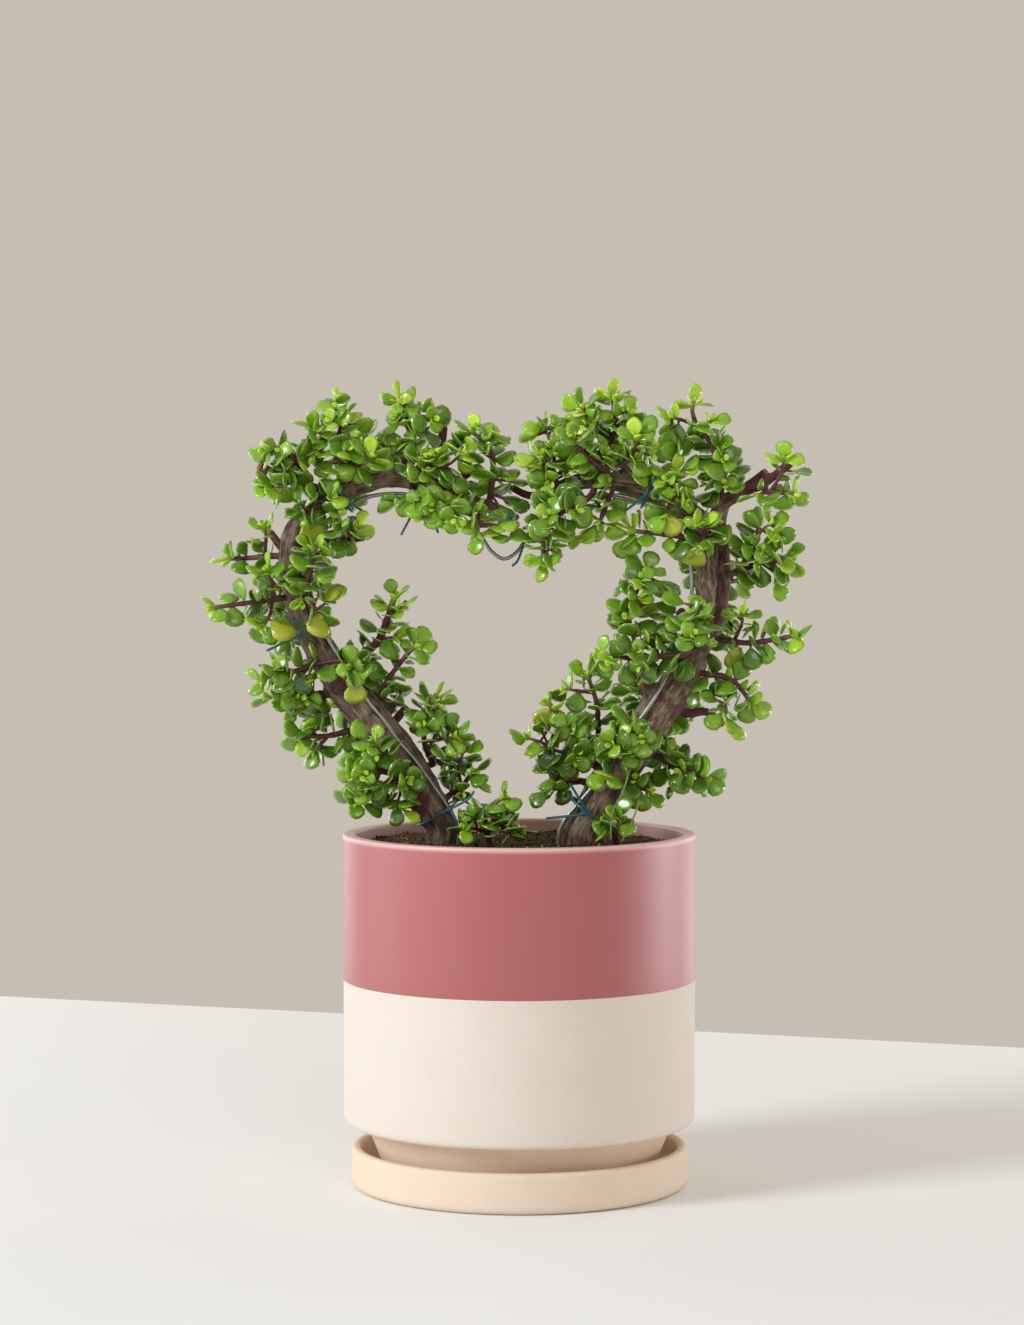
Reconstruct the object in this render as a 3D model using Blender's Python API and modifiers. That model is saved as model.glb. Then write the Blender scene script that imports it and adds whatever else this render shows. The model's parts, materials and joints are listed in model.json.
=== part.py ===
"""Dwarf jade bonsai: two trunks trained into a heart on a wire, in a glazed pot on its saucer.

Metres, +Z up. The origin is the middle of the saucer's underside, and the front is -Y.
Pot, saucer and soil are turned from profiles in millimetres. The plant follows a front
view drawn on a grid: (u, v) counts grid units to the right and down, and a third number
is the depth in millimetres behind the pot's axis. at() turns these into real places.
"""

import math
import random
from dataclasses import dataclass, field

import bmesh
import bpy
from mathutils import Matrix, Vector
from mathutils.bvhtree import BVHTree

MM = 0.001
GAP = 0.35  # mm between pieces that touch

# Front view: real size of its grid at the pot's axis, and the eye that it was drawn from
GRID_MM = 0.4525
AXIS_U = 519.3
GROUND_V = 1186.8
EYE_DISTANCE = 1513.0
EYE_HEIGHT = 294.0

# Pot and saucer, mm
POT_RADIUS = 80.0
POT_TOP = 160.0
POT_WALL = 5.7
POT_SHOULDER = 29.0  # where the wide body steps in to the foot
FOOT_RADIUS = 60.5
POT_FLOOR = 6.0
DRAIN_RADIUS = 6.0
GLAZE_LINE = 94.3
SAUCER_RADIUS = 76.2
SAUCER_HEIGHT = 18.3
SAUCER_WALL = 4.5
SAUCER_FLOOR = 6.0
SOIL_TOP = 155.0
SOIL_LINE = SOIL_TOP + 0.6  # where stems enter it
TURN_STEPS = 30
FOOT_SHARE = 0.8  # of a stem's width is left at its buried foot

# Wire and ties, mm
WIRE_RADIUS = 0.9
WIRE_PLAY = 0.25  # kept free round the wire besides GAP
WIRE_STEP = 12.0
WIRE_EASING = 3  # passes that even out its bends in depth
TRUNK_STEP = 15.0
BRANCH_STEP = 14.0
STEM_STEP = 11.0
TIE_RADIUS = 0.75
TIE_POINTS = 10
TIE_SLACK = 1.06
BURIED = 24.0  # how deep stems and wire ends stand in the soil
HOLE_SIDES = 12
HOLE_SPARE = 4.0  # how much longer than what stands in it a hole in the soil is
SAMPLE_STEP = 2.0  # between the places that stand for a tube when gaps are measured
NUDGE = 0.4  # how far one pass moves a tube that touches another
NUDGES = 80  # passes at most
BEND_SPREAD = 3  # points on each side that follow a nudge, less and less

# Stems and leaves, mm unless named otherwise
SPUR = 2.2
SPUR_STEP = 0.3
STRAIGHT = 1.2  # a stem leaves its spur straight for this long
FREE_OF_SEAT = 3.0  # its next turn lies at least this far beyond the spur's end
STEM_PLAY = 0.25
STEM_RADIUS = 1.5
TWIG_RADIUS = 0.9
TIP_SHARE = 0.62
LEAF_UNITS = 25.0  # usual leaf length in grid units
LEAF_SIDES = 7
SMALL_LEAF_SIDES = 5
SMALL_LEAF = 27.9  # grid units: shorter leaves have the plainer blade
LEAF_WIDTH = 0.80  # share of the length
LEAF_THICK = 0.19
OBOVATE = 0.38  # how much wider a blade is towards its tip
LEAF_REACH = 0.56  # from the root to the middle of the blade
LEAF_TRIES = 24
LEAF_SHRINK = 0.018  # each further try makes the leaf this much shorter
LEAF_SIZES = (0.92, 1.04)  # share of the usual length
LEAF_LEAN = 0.35  # how far a leaf beside its stem leans out of the front view
FACE_TILT = 0.5
FACE_OUT = 0.6
FACE_SPREAD = 0.4
FACE_UP = 0.75
FRONT_SHARE = 0.72  # leaves on the front of a stem, and on a spray behind the heart:
BACK_FRONT_SHARE = 0.25
ROOT_STEP = 1.2
CROWDING = 5.6  # mm between the middles of plain leaves on one spray, at least
FORK_MARGIN = 3.0  # no twig forks nearer than this to its seat
ROOT_MARGIN = 1.0  # no leaf is rooted nearer than this to the ends of a stem

COLOURS = {
    "glaze": ((0.42, 0.13, 0.12), 0.22),
    "clay": ((0.78, 0.66, 0.55), 0.75),
    "soil": ((0.05, 0.035, 0.02), 0.95),
    "bark": ((0.16, 0.12, 0.09), 0.85),
    "leaf": ((0.16, 0.34, 0.04), 0.32),
    "tie": ((0.01, 0.07, 0.08), 0.45),
    "wire": ((0.33, 0.33, 0.33), 0.40),
}

# Trunks: (u, v, depth, radius in mm) from the soil upwards
TRUNK_LEFT = [
    (443, 846, 0, 8.0), (441, 825, 0, 7.5), (420, 790, 0, 8.6), (400, 757, 0, 9.0),
    (372, 722, 0, 8.8), (350, 694, 0, 8.3), (330, 665, 0, 7.6), (315, 640, 0, 6.9),
    (300, 610, 0, 6.1), (293, 580, 0, 5.7), (291, 556, 0, 5.5), (294, 535, 0, 5.3),
    (305, 517, 0, 5.1), (318, 505, 0, 5.0), (333, 497, 0, 4.8), (355, 487, 0, 4.6),
    (375, 480, 0, 4.5), (395, 478, 0, 4.4), (420, 482, 0, 4.2), (447, 494, 0, 3.8),
    (475, 503, 0, 3.2), (505, 512, 0, 2.4), (518, 520, 0, 1.9),
]
TRUNK_RIGHT = [
    (583, 846, 0, 10.2), (590, 822, 0, 9.4), (615, 775, 0, 9.3), (635, 748, 0, 9.2),
    (655, 715, 0, 9.0), (678, 685, 0, 8.2), (694, 655, 0, 7.4), (703, 630, 0, 6.7),
    (708, 600, 0, 6.0), (708, 583, 0, 5.7), (710, 560, 0, 5.6), (710, 540, 0, 5.5),
    (703, 525, 0, 5.2), (690, 513, 0, 4.9), (675, 503, 0, 4.7), (659, 495, 0, 4.6),
    (643, 488, 0, 4.5), (614, 482, 0, 4.4), (590, 479, 0, 4.2), (570, 485, 0, 3.8),
    (548, 496, 0, 3.0), (533, 507, 0, 2.2),
]
# Cut branches and stubs fused to each trunk, listed from the trunk outwards
BRANCHES_LEFT = [
    [(333, 497, 0, 3.0), (305, 486, -4, 2.8), (276, 475, -8, 2.4), (258, 465, -10, 2.1)],
    [(294, 545, 0, 2.2), (312, 543, 5, 2.1), (335, 541, 2, 2.0), (365, 538, -5, 1.7)],
    [(292, 560, 0, 2.2), (280, 545, 9, 2.0), (269, 531, 12, 1.8)],
    [(446, 493, 0, 2.6), (440, 462, 4, 2.3), (444, 425, 6, 2.0)],
    [(442, 491, 0, 2.2), (458, 480, 2, 2.0), (478, 468, 4, 1.8)],
    [(382, 735, 2, 2.4), (394, 722, 8, 2.1), (407, 706, 9, 1.9)],
    [(425, 800, 0, 2.4), (410, 804, -4, 2.2), (398, 806, -6, 2.0)],
    [(343, 684, 0, 2.8), (350, 677, -7, 2.4)],
]
BRANCHES_RIGHT = [
    [(707, 640, 3, 3.4), (718, 612, 4, 3.8), (721, 580, 4, 4.2), (720, 550, 3, 4.3),
     (717, 525, 2, 4.2), (723, 503, 2, 3.7), (737, 495, 0, 3.2), (753, 483, -2, 2.6),
     (768, 472, -3, 2.2)],
    [(741, 492, 0, 2.6), (764, 483, -5, 2.3), (793, 461, -7, 1.9)],
    [(665, 703, 0, 4.6), (655, 696, 2, 4.2), (643, 682, 2, 3.6)],
    [(700, 635, 0, 3.0), (690, 622, 3, 2.6), (678, 610, 4, 2.3)],
    [(556, 490, 0, 2.2), (530, 496, 4, 1.9), (511, 487, 5, 1.7)],
    [(664, 700, 0, 2.4), (685, 713, 3, 2.2), (707, 712, 6, 2.0), (724, 726, 7, 1.7)],
]
# One wire from soil to soil, bent to the heart
WIRE = [
    (458, 846, -6), (456, 822, -6), (437, 790, -2), (414, 758, -2), (400, 742, -2),
    (384, 719, -2), (369, 701, -2), (347, 668, -2), (329, 640, -2), (316, 610, -2),
    (310, 585, -2), (309, 560, -2), (314, 540, 0), (326, 522, 0), (343, 511, -1),
    (369, 497, -2), (402, 494, -2), (428, 502, -2), (455, 516, -2), (479, 534, -2),
    (491, 551, -2), (504, 559, -2), (517, 552, -2), (525, 540, -2), (535, 523, -2),
    (548, 511, -2), (575, 500, -2), (612, 495, -2), (645, 503, -2), (668, 518, -2),
    (684, 540, -2), (690, 560, -3), (692, 585, -4), (689, 612, -4), (678, 650, -5),
    (663, 684, -6), (650, 705, -6), (633, 729, -6), (616, 756, -6), (590, 790, -6),
    (563, 824, -8), (558, 846, -8),
]
# Ties: which trunk, where on the wire, and the loose ends of the twist
TIES = [
    ("trunk_left", (447, 806), [[(466, 801, -12), (474, 792, -14)]]),
    ("trunk_left", (345, 510), [[(361, 510, -11), (368, 515, -13)], [(330, 528, -10)]]),
    ("trunk_left", (322, 627), [[(284, 616, -13)], [(266, 651, -14)]]),
    ("trunk_left", (418, 499), [[(401, 535, -9)], [(438, 533, -10)]]),
    ("trunk_right", (640, 501), [[(625, 511, -10), (611, 517, -10)]]),
    ("trunk_right", (577, 807), [[(546, 819, -18)], [(570, 784, -17)]]),
]
# The knot under the notch holds the wire alone
KNOT = (None, (525, 541), [
    [(516, 530, -7), (509, 513, -7)], [(537, 530, -9)], [(518, 560, -8), (512, 566, -8)],
])


@dataclass
class Spray:
    """One leafy stem: routes from its seat outwards, and where its leaves are."""

    name: str
    grows_from: str
    stems: list
    leaves: list
    thick: float = STEM_RADIUS
    back: bool = False
    parts: list = field(default_factory=list)


LEFT, RIGHT, SOIL = "trunk_left", "trunk_right", "soil"
STEM = "_stem"
SPRAYS = [
    Spray("spray_left_tip", LEFT,
          [[(308, 487, -4), (304, 470, -10), (290, 455, -14), (278, 448, -15), (264, 450, -16)],
           [(304, 470, -10), (306, 450, -8), (311, 426, -8)],
           [(304, 474, -9), (288, 484, -16), (272, 488, -17)]],
          [(260, 483, 26), (281, 477), (274, 493), (284, 464), (256, 454),
           (283, 439), (302, 423), (321, 428), (298, 448)]),
    Spray("spray_left_upright", LEFT,
          [[(352, 487, 0), (348, 470, -8), (334, 448, -10), (341, 428, -9), (338, 399, -8)],
           [(348, 470, -8), (362, 462, -13), (372, 454, -14)]],
          [(325, 408), (328, 421), (355, 415), (350, 428), (340, 457),
           (323, 468), (364, 477, 26), (382, 452), (386, 465), (357, 446)]),
    Spray("spray_left_bend", LEFT,
          [[(318, 505, 0), (322, 503, -12), (331, 496, -19)],
           [(320, 504, -10), (308, 514, -14), (306, 522, -15)]],
          [(326, 487), (341, 502), (309, 496), (295, 511), (311, 529, 28)]),
    Spray("spray_left_arch_under", LEFT,
          [[(412, 482, 0), (413, 495, -9), (425, 505, -12), (447, 511, -14), (470, 514, -16),
            (477, 524, -17), (477, 536, -17)]],
          [(390, 501), (406, 507), (435, 499), (432, 515), (449, 521),
           (478, 506), (495, 516, 26), (466, 526), (461, 507), (475, 548, 24), (493, 533)]),
    Spray("spray_left_arch_high", LEFT,
          [[(400, 478, 0), (407, 455, 3), (409, 430, 4), (405, 412, 3), (399, 400, 2)],
           [(409, 432, 4), (426, 421, 0), (430, 412, -1)]],
          [(387, 398), (409, 395), (393, 417), (429, 404), (416, 432), (393, 440), (417, 447)]),
    Spray("spray_left_arch_front", LEFT,
          [[(415, 482, 0), (416, 470, -9), (425, 458, -13)],
           [(417, 469, -9), (446, 466, -12), (463, 452, -13)]],
          [(425, 449), (414, 459), (401, 467), (413, 476), (454, 446), (446, 479, 26),
           (466, 466), (471, 446), (478, 455)]),
    Spray("spray_notch_left", LEFT,
          [[(489, 507, 0), (492, 482, -5), (493, 460, -5), (487, 445, -6), (472, 432, -6)]],
          [(506, 458), (504, 441), (487, 431), (461, 424), (460, 436),
           (478, 443), (510, 475), (480, 473), (478, 489), (502, 490)]),
    Spray("spray_left_outer_high", LEFT,
          [[(292, 556, 0), (274, 556, 2), (250, 558, 6), (227, 559, 9)],
           [(274, 556, 2), (266, 538, -2), (264, 526, -3)]],
          [(272, 518), (255, 526), (256, 541), (232, 549), (243, 568)]),
    Spray("spray_left_outer", LEFT,
          [[(296, 597, 0), (283, 598, -5), (272, 600, -8), (239, 604, -13), (212, 608, -15)],
           [(272, 600, -8), (272, 584, -10), (267, 571, -11)],
           [(272, 600, -8), (270, 614, -12), (263, 628, -14)]],
          [(254, 567), (281, 569), (258, 580), (243, 588), (229, 597), (220, 615), (234, 618),
           (254, 611), (258, 635), (271, 637, 24), (285, 628, 32)]),
    Spray("spray_left_middle_front", LEFT,
          [[(298, 600, 0), (305, 592, -11), (309, 575, -17), (314, 556, -21), (314, 547, -22)],
           [(305, 592, -11), (313, 606, -14), (318, 614, -15)]],
          [(303, 542), (320, 538), (326, 553), (301, 560), (326, 575),
           (329, 591, 28), (293, 577), (322, 627, 33)]),
    Spray("spray_left_inner_high", LEFT,
          [[(338, 541, 1), (346, 535, -9), (356, 527, -13)]],
          [(341, 524), (367, 532), (336, 549), (350, 548)]),
    Spray("spray_left_shoulder", LEFT,
          [[(330, 665, 0), (318, 663, -9), (296, 671, -13), (273, 674, -15), (262, 682, -15)],
           [(318, 663, -9), (340, 661, -15), (355, 667, -18), (356, 682, -18)]],
          [(300, 658), (286, 662), (328, 672, 27), (302, 683), (284, 683, 27), (256, 689),
           (266, 668), (347, 650), (365, 656), (354, 695, 28)]),
    Spray("spray_left_low_outer", LEFT,
          [[(352, 697, 0), (332, 695, 3), (308, 694, 4), (285, 695, 3), (266, 698, 2)]],
          [(258, 703), (280, 706), (295, 706), (306, 709, 26), (322, 702),
           (318, 716, 26)]),
    Spray("spray_left_low", LEFT,
          [[(372, 727, 0), (350, 731, -2), (328, 736, -5), (300, 737, -7)],
           [(328, 736, -5), (314, 752, -7)]],
          [(287, 742), (290, 728), (310, 727), (327, 750), (332, 724),
           (311, 762)]),
    Spray("spray_left_foot", LEFT,
          [[(409, 775, 0), (398, 774, -13), (374, 772, -16), (352, 777, -16)],
           [(398, 774, -13), (385, 757, -18), (372, 742, -21)],
           [(374, 772, -16), (362, 794, -18), (354, 802, -18)],
           [(398, 774, -13), (400, 790, -14), (396, 806, -15)]],
          [(358, 728), (378, 729), (360, 744), (387, 743), (346, 758),
           (361, 763), (341, 776), (371, 786), (387, 786), (416, 781),
           (384, 800), (351, 791), (340, 797), (356, 812), (368, 808), (408, 803),
           (396, 819)]),
    Spray("spray_left_inner", LEFT,
          [[(378, 728, 0), (389, 712, -1), (381, 695, -1), (389, 678, -2), (405, 657, -3),
            (416, 645, -4)]],
          [(424, 635), (412, 631), (431, 646), (423, 658), (395, 657), (377, 670), (371, 683),
           (401, 689), (397, 702)]),
    Spray("spray_left_inner_stub", LEFT,
          [[(335, 672, 0), (352, 662, 3), (370, 649, 2), (379, 639, 0), (388, 617, -4),
            (394, 598, -6)],
           [(388, 617, -4), (402, 607, -5)],
           [(379, 639, 0), (396, 637, -3)]],
          [(391, 583), (379, 589), (404, 590), (377, 604), (412, 600), (415, 612),
           (389, 629), (406, 630), (407, 643), (390, 649), (368, 626),
           (364, 638), (368, 660)], thick=2.2),
    Spray("spray_left_inner_low", LEFT,
          [[(413, 772, 0), (428, 766, 5), (424, 742, 1), (427, 714, -3), (432, 701, -4)],
           [(424, 742, 1), (440, 740, -4), (455, 737, -6)]],
          [(420, 697), (428, 686), (450, 700), (451, 717),
           (436, 719), (415, 713), (447, 727), (463, 725), (468, 738), (455, 749),
           (440, 754), (409, 732), (411, 748)]),
    Spray("spray_left_base", LEFT,
          [[(434, 810, 0), (448, 797, 5), (461, 788, 2), (471, 774, -2)],
           [(461, 788, 2), (459, 767, 0), (465, 748, -1)]],
          [(476, 747), (486, 765), (449, 760), (480, 778), (460, 797)]),
    Spray("spray_soil_left", SOIL,
          [[(490, 846, -14), (485, 824, -16), (485, 811, -17), (503, 798, -18)],
           [(487, 834, -15), (466, 828, -20)],
           [(487, 834, -15), (508, 828, -20), (520, 832, -21)]],
          [(463, 818), (454, 829), (478, 804), (497, 808),
           (515, 804), (499, 824), (512, 821), (531, 833)]),
    Spray("spray_notch_right", RIGHT,
          [[(590, 479, 0), (594, 491, -12), (582, 503, -19), (566, 510, -22), (552, 521, -20),
            (545, 536, -17), (543, 552, -16), (544, 563, -16)]],
          [(546, 502), (568, 497, 26), (548, 526), (582, 519, 26), (566, 526), (575, 484),
           (533, 548, 26), (531, 562), (553, 560), (552, 544), (540, 575)]),
    Spray("spray_right_arch_tip", RIGHT,
          [[(560, 489, 0), (553, 477, -7), (546, 465, -12), (541, 455, -14)],
           [(553, 477, -7), (554, 455, -2), (548, 436, 1), (543, 425, 1)],
           [(553, 477, -7), (570, 467, -12)]],
          [(533, 449), (522, 460), (558, 464, 26),
           (572, 457), (583, 469), (545, 487), (530, 430), (545, 416), (559, 424)]),
    Spray("spray_right_arch_under", RIGHT,
          [[(616, 482, 0), (609, 497, -9), (604, 511, -12), (599, 524, -12)]],
          [(605, 506, 26), (615, 501), (590, 516), (597, 534)]),
    Spray("spray_right_arch_high", RIGHT,
          [[(618, 483, 0), (614, 462, 5), (612, 440, 4), (618, 428, 3), (615, 416, 2),
            (612, 397, 1)],
           [(612, 440, 4), (592, 427, 1), (583, 409, 0)]],
          [(579, 392), (568, 402), (593, 400), (600, 394), (624, 394), (602, 413), (629, 408),
           (618, 429), (636, 418)]),
    Spray("spray_right_arch_front", RIGHT,
          [[(606, 481, 0), (608, 471, -8), (597, 465, -11), (585, 454, -14), (575, 445, -16),
            (571, 438, -18)],
           [(608, 471, -8), (622, 465, -11), (634, 450, -14), (635, 437, -16)]],
          [(561, 435), (585, 436), (561, 449), (592, 446),
           (588, 470), (604, 456), (623, 434), (647, 434), (648, 450),
           (620, 455), (643, 466)]),
    Spray("spray_right_top", RIGHT,
          [[(722, 506, 2), (721, 486, -4), (720, 468, -6), (714, 452, -6), (707, 438, -5),
            (697, 427, -4), (692, 411, -4), (694, 402, -4)],
           [(704, 434, -5), (711, 420, -9)],
           [(697, 427, -4), (681, 420, -7), (670, 418, -8)]],
          [(681, 405), (704, 404), (662, 413), (667, 428),
           (711, 410), (722, 421), (717, 434), (723, 444), (732, 453),
           (702, 446), (704, 462), (739, 469, 27), (735, 486, 26)]),
    Spray("spray_right_arch_outer", RIGHT,
          [[(669, 500, 0), (672, 490, -9), (676, 474, -10)],
           [(672, 494, -7), (668, 507, -13), (667, 517, -16)]],
          [(656, 470), (692, 468), (655, 504, 24), (683, 505, 25),
           (672, 528, 28), (655, 523)]),
    Spray("spray_right_fork", RIGHT,
          [[(764, 483, -5), (766, 492, -13), (780, 492, -15), (793, 495, -15)],
           [(772, 492, -14), (781, 474, -16), (784, 458, -16)]],
          [(784, 446), (771, 458), (797, 462), (803, 474), (772, 498, 26),
           (801, 500)]),
    Spray("spray_right_bend", RIGHT,
          [[(709, 538, 0), (706, 536, -13), (701, 524, -18)],
           [(706, 536, -13), (700, 548, -17)]],
          [(699, 514), (714, 537), (694, 558, 32)]),
    Spray("spray_right_inner_high", RIGHT,
          [[(709, 548, 0), (697, 545, -9), (686, 538, -10), (660, 534, -10), (632, 531, -10)]],
          [(618, 524, 24), (633, 518), (629, 547, 27), (646, 540), (678, 550, 26)]),
    Spray("spray_right_outer_high", RIGHT,
          [[(721, 578, 4), (736, 572, 2), (757, 564, -3), (774, 560, -6), (789, 556, -7)],
           [(736, 572, 2), (750, 548, -5), (762, 530, -7), (772, 523, -8)]],
          [(746, 580), (737, 560, 30), (752, 534), (769, 547), (751, 520), (735, 540),
           (787, 536), (781, 518), (797, 549), (798, 571), (779, 578, 26), (762, 578)]),
    Spray("spray_right_outer", RIGHT,
          [[(706, 640, 0), (722, 640, -4), (748, 643, -8), (778, 639, -11), (797, 635, -13)],
           [(735, 642, -7), (742, 624, -10), (742, 613, -11)]],
          [(804, 629), (789, 625), (774, 627), (782, 647), (796, 646), (763, 632), (744, 603),
           (753, 615), (729, 614), (735, 659, 28),
           (766, 654), (752, 660)]),
    Spray("spray_right_outer_low", RIGHT,
          [[(688, 668, 0), (706, 674, -6), (722, 676, -8), (737, 684, -9), (752, 704, -10)],
           [(737, 684, -9), (728, 700, -12), (722, 716, -13)]],
          [(713, 663), (724, 687, 26), (700, 684), (742, 670), (755, 689), (763, 711),
           (748, 717), (741, 706), (719, 701), (713, 722), (733, 728)]),
    Spray("spray_right_inner", RIGHT,
          [[(694, 658, 0), (688, 656, -11), (672, 656, -12), (650, 657, -11), (629, 658, -10),
            (598, 654, -9)],
           [(640, 657, -11), (631, 630, -9), (632, 606, -8), (640, 585, -8), (647, 568, -8)],
           [(688, 656, -11), (694, 640, -15), (702, 620, -16), (702, 606, -17)],
           [(686, 656, -11), (698, 650, -14), (710, 643, -15)]],
          [(633, 560, 26), (652, 556), (658, 573), (644, 583), (629, 590), (616, 605),
           (616, 621), (647, 605, 29), (647, 625), (615, 643), (637, 645), (650, 636, 24),
           (650, 671, 27), (628, 678, 26), (685, 671), (698, 596, 29),
           (711, 624), (687, 638, 24)]),
    Spray("spray_right_low_inner", RIGHT,
          [[(622, 765, 0), (602, 752, 5), (598, 722, 0), (597, 704, -2),
            (588, 676, -4)],
           [(594, 692, -3), (578, 691, -5), (565, 689, -6)]],
          [(575, 669), (604, 667), (605, 685, 26), (558, 696),
           (576, 703), (612, 704), (585, 716), (610, 722), (582, 729)]),
    Spray("spray_right_low_stub", RIGHT,
          [[(612, 778, 0), (594, 764, -4), (584, 750, -6), (571, 728, -7), (547, 702, -8)],
           [(584, 750, -6), (560, 752, -9), (540, 742, -11), (525, 738, -12)]],
          [(541, 719, 28), (517, 737), (530, 728), (532, 750), (547, 761),
           (551, 738), (566, 763), (588, 726)], thick=2.0),
    Spray("spray_right_low_front", RIGHT,
          [[(632, 752, 0), (629, 749, -13), (619, 743, -17), (613, 735, -18)],
           [(629, 749, -13), (640, 740, -16), (638, 725, -18)],
           [(629, 749, -13), (614, 764, -17), (606, 774, -18)]],
          [(636, 714, 27), (615, 726), (603, 742), (621, 752), (633, 761), (652, 741),
           (603, 771, 28), (615, 782), (595, 782)]),
    Spray("spray_right_foot", RIGHT,
          [[(606, 786, 0), (584, 782, 3), (570, 783, -2), (556, 781, -6), (548, 770, -8)]],
          [(545, 784), (538, 800, 24), (562, 796), (558, 771), (541, 765)]),
    Spray("spray_right_low_outer", RIGHT,
          [[(634, 750, 0), (658, 757, -4), (675, 768, -8), (694, 774, -10),
            (708, 780, -11)]],
          [(682, 752), (664, 745), (650, 742), (695, 763), (706, 766, 24), (720, 775),
           (680, 782, 27), (698, 787), (717, 787), (662, 778), (645, 768)]),
    Spray("spray_right_heel", RIGHT,
          [[(608, 790, 0), (624, 788, -4), (636, 788, -6), (650, 791, -8)]],
          [(644, 806, 24), (659, 801, 24), (635, 799), (640, 779)]),
    Spray("spray_soil_right", SOIL,
          [[(617, 847, -14), (616, 832, -17), (621, 820, -19)]],
          [(602, 827, 25), (628, 831, 24), (621, 810), (637, 823)]),
    Spray("spray_back_left", LEFT,
          [[(300, 610, 0), (296, 606, 14), (284, 590, 24), (270, 584, 32)],
           [(306, 580, 27), (312, 560, 33)],
           [(300, 626, 25), (290, 640, 32)]],
          [(258, 582), (270, 570), (280, 598), (262, 596), (300, 573), (322, 566), (308, 545),
           (300, 553), (318, 583), (284, 576), (284, 650), (300, 642), (306, 622),
           (278, 634), (290, 618)], back=True),
    Spray("spray_back_left_low", LEFT,
          [[(372, 722, 0), (366, 720, 16), (348, 708, 26), (332, 706, 34)],
           [(360, 716, 19), (378, 698, 28), (392, 688, 33)],
           [(360, 716, 19), (366, 744, 26), (356, 762, 32)]],
          [(320, 704), (334, 692), (348, 694), (340, 720), (374, 684), (392, 676), (404, 690),
           (386, 706), (364, 700), (346, 764), (358, 776), (374, 756), (354, 744),
           (378, 734)], back=True),
    Spray("spray_back_arch_left", LEFT,
          [[(375, 480, 0), (372, 472, 10), (356, 446, 32)],
           [(371, 468, 13), (410, 446, 30)],
           [(371, 468, 13), (336, 498, 30)]],
          [(344, 444), (356, 434), (372, 448), (352, 460), (386, 440), (398, 458), (420, 440),
           (410, 458), (378, 462), (326, 496), (338, 510), (348, 480), (360, 498),
           (330, 482)], back=True),
    Spray("spray_back_arch_right", RIGHT,
          [[(614, 482, 0), (616, 474, 10), (640, 450, 32)],
           [(617, 470, 13), (582, 452, 30)],
           [(617, 470, 13), (656, 492, 30)]],
          [(652, 446), (640, 436), (626, 448), (644, 462), (608, 446), (594, 466), (572, 448),
           (584, 438), (616, 458), (668, 490), (656, 504), (644, 476), (630, 494),
           (662, 478)], back=True),
    Spray("spray_back_right", RIGHT,
          [[(708, 600, 0), (711, 596, 14), (724, 584, 24), (740, 580, 32)],
           [(702, 570, 27), (696, 552, 33)],
           [(712, 618, 25), (722, 634, 32)]],
          [(752, 578), (740, 566), (730, 594), (746, 592), (708, 562), (686, 566), (698, 540),
           (708, 548), (690, 580), (726, 572), (730, 644), (714, 640), (702, 618),
           (734, 628), (722, 612)], back=True),
    Spray("spray_back_right_low", RIGHT,
          [[(650, 722, 0), (655, 720, 16), (672, 712, 26), (688, 710, 34)],
           [(660, 717, 19), (644, 700, 28), (632, 690, 33)],
           [(660, 717, 19), (656, 744, 26), (666, 762, 32)]],
          [(700, 708), (686, 696), (672, 698), (682, 724), (648, 686), (630, 678), (618, 692),
           (636, 708), (658, 702), (676, 764), (662, 776), (646, 756), (668, 744),
           (644, 734)], back=True)]


def at(u, v, depth=0.0):
    """The place of a point of the front view, in metres."""
    scale = GRID_MM * (1 + depth / EYE_DISTANCE)
    eye_v = GROUND_V - EYE_HEIGHT / GRID_MM
    return Vector(((u - AXIS_U) * scale, depth, EYE_HEIGHT + (eye_v - v) * scale)) * MM


def clear_scene():
    for old in list(bpy.data.objects):
        bpy.data.objects.remove(old)


def make_collection(name):
    made = bpy.data.collections.new(name)
    bpy.context.scene.collection.children.link(made)
    return made


def make_material(name):
    colour, roughness = COLOURS[name]
    material = bpy.data.materials.new(name)
    material.use_nodes = True
    shader = material.node_tree.nodes["Principled BSDF"]
    shader.inputs["Base Color"].default_value = (*colour, 1)
    shader.inputs["Roughness"].default_value = roughness
    shader.inputs["Metallic"].default_value = 1.0 if name == "wire" else 0.0
    return material


def add_object(name, data, collection, material=None):
    made = bpy.data.objects.new(name, data)
    collection.objects.link(made)
    if material:
        data.materials.append(material)
    return made


# Turned pieces


def turned(name, profile, material, collection):
    """A solid of revolution from (radius, height) points in mm, listed down the outer side."""
    mesh = bpy.data.meshes.new(name)
    points = [Vector((r, 0, z)) * MM for r, z in profile]
    mesh.from_pydata(points, [(i, i + 1) for i in range(len(points) - 1)], [])
    body = add_object(name, mesh, collection, material)
    screw = body.modifiers.new("turn", "SCREW")
    screw.steps = screw.render_steps = TURN_STEPS
    screw.use_merge_vertices = True
    screw.merge_threshold = 0.00005
    return body


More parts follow.
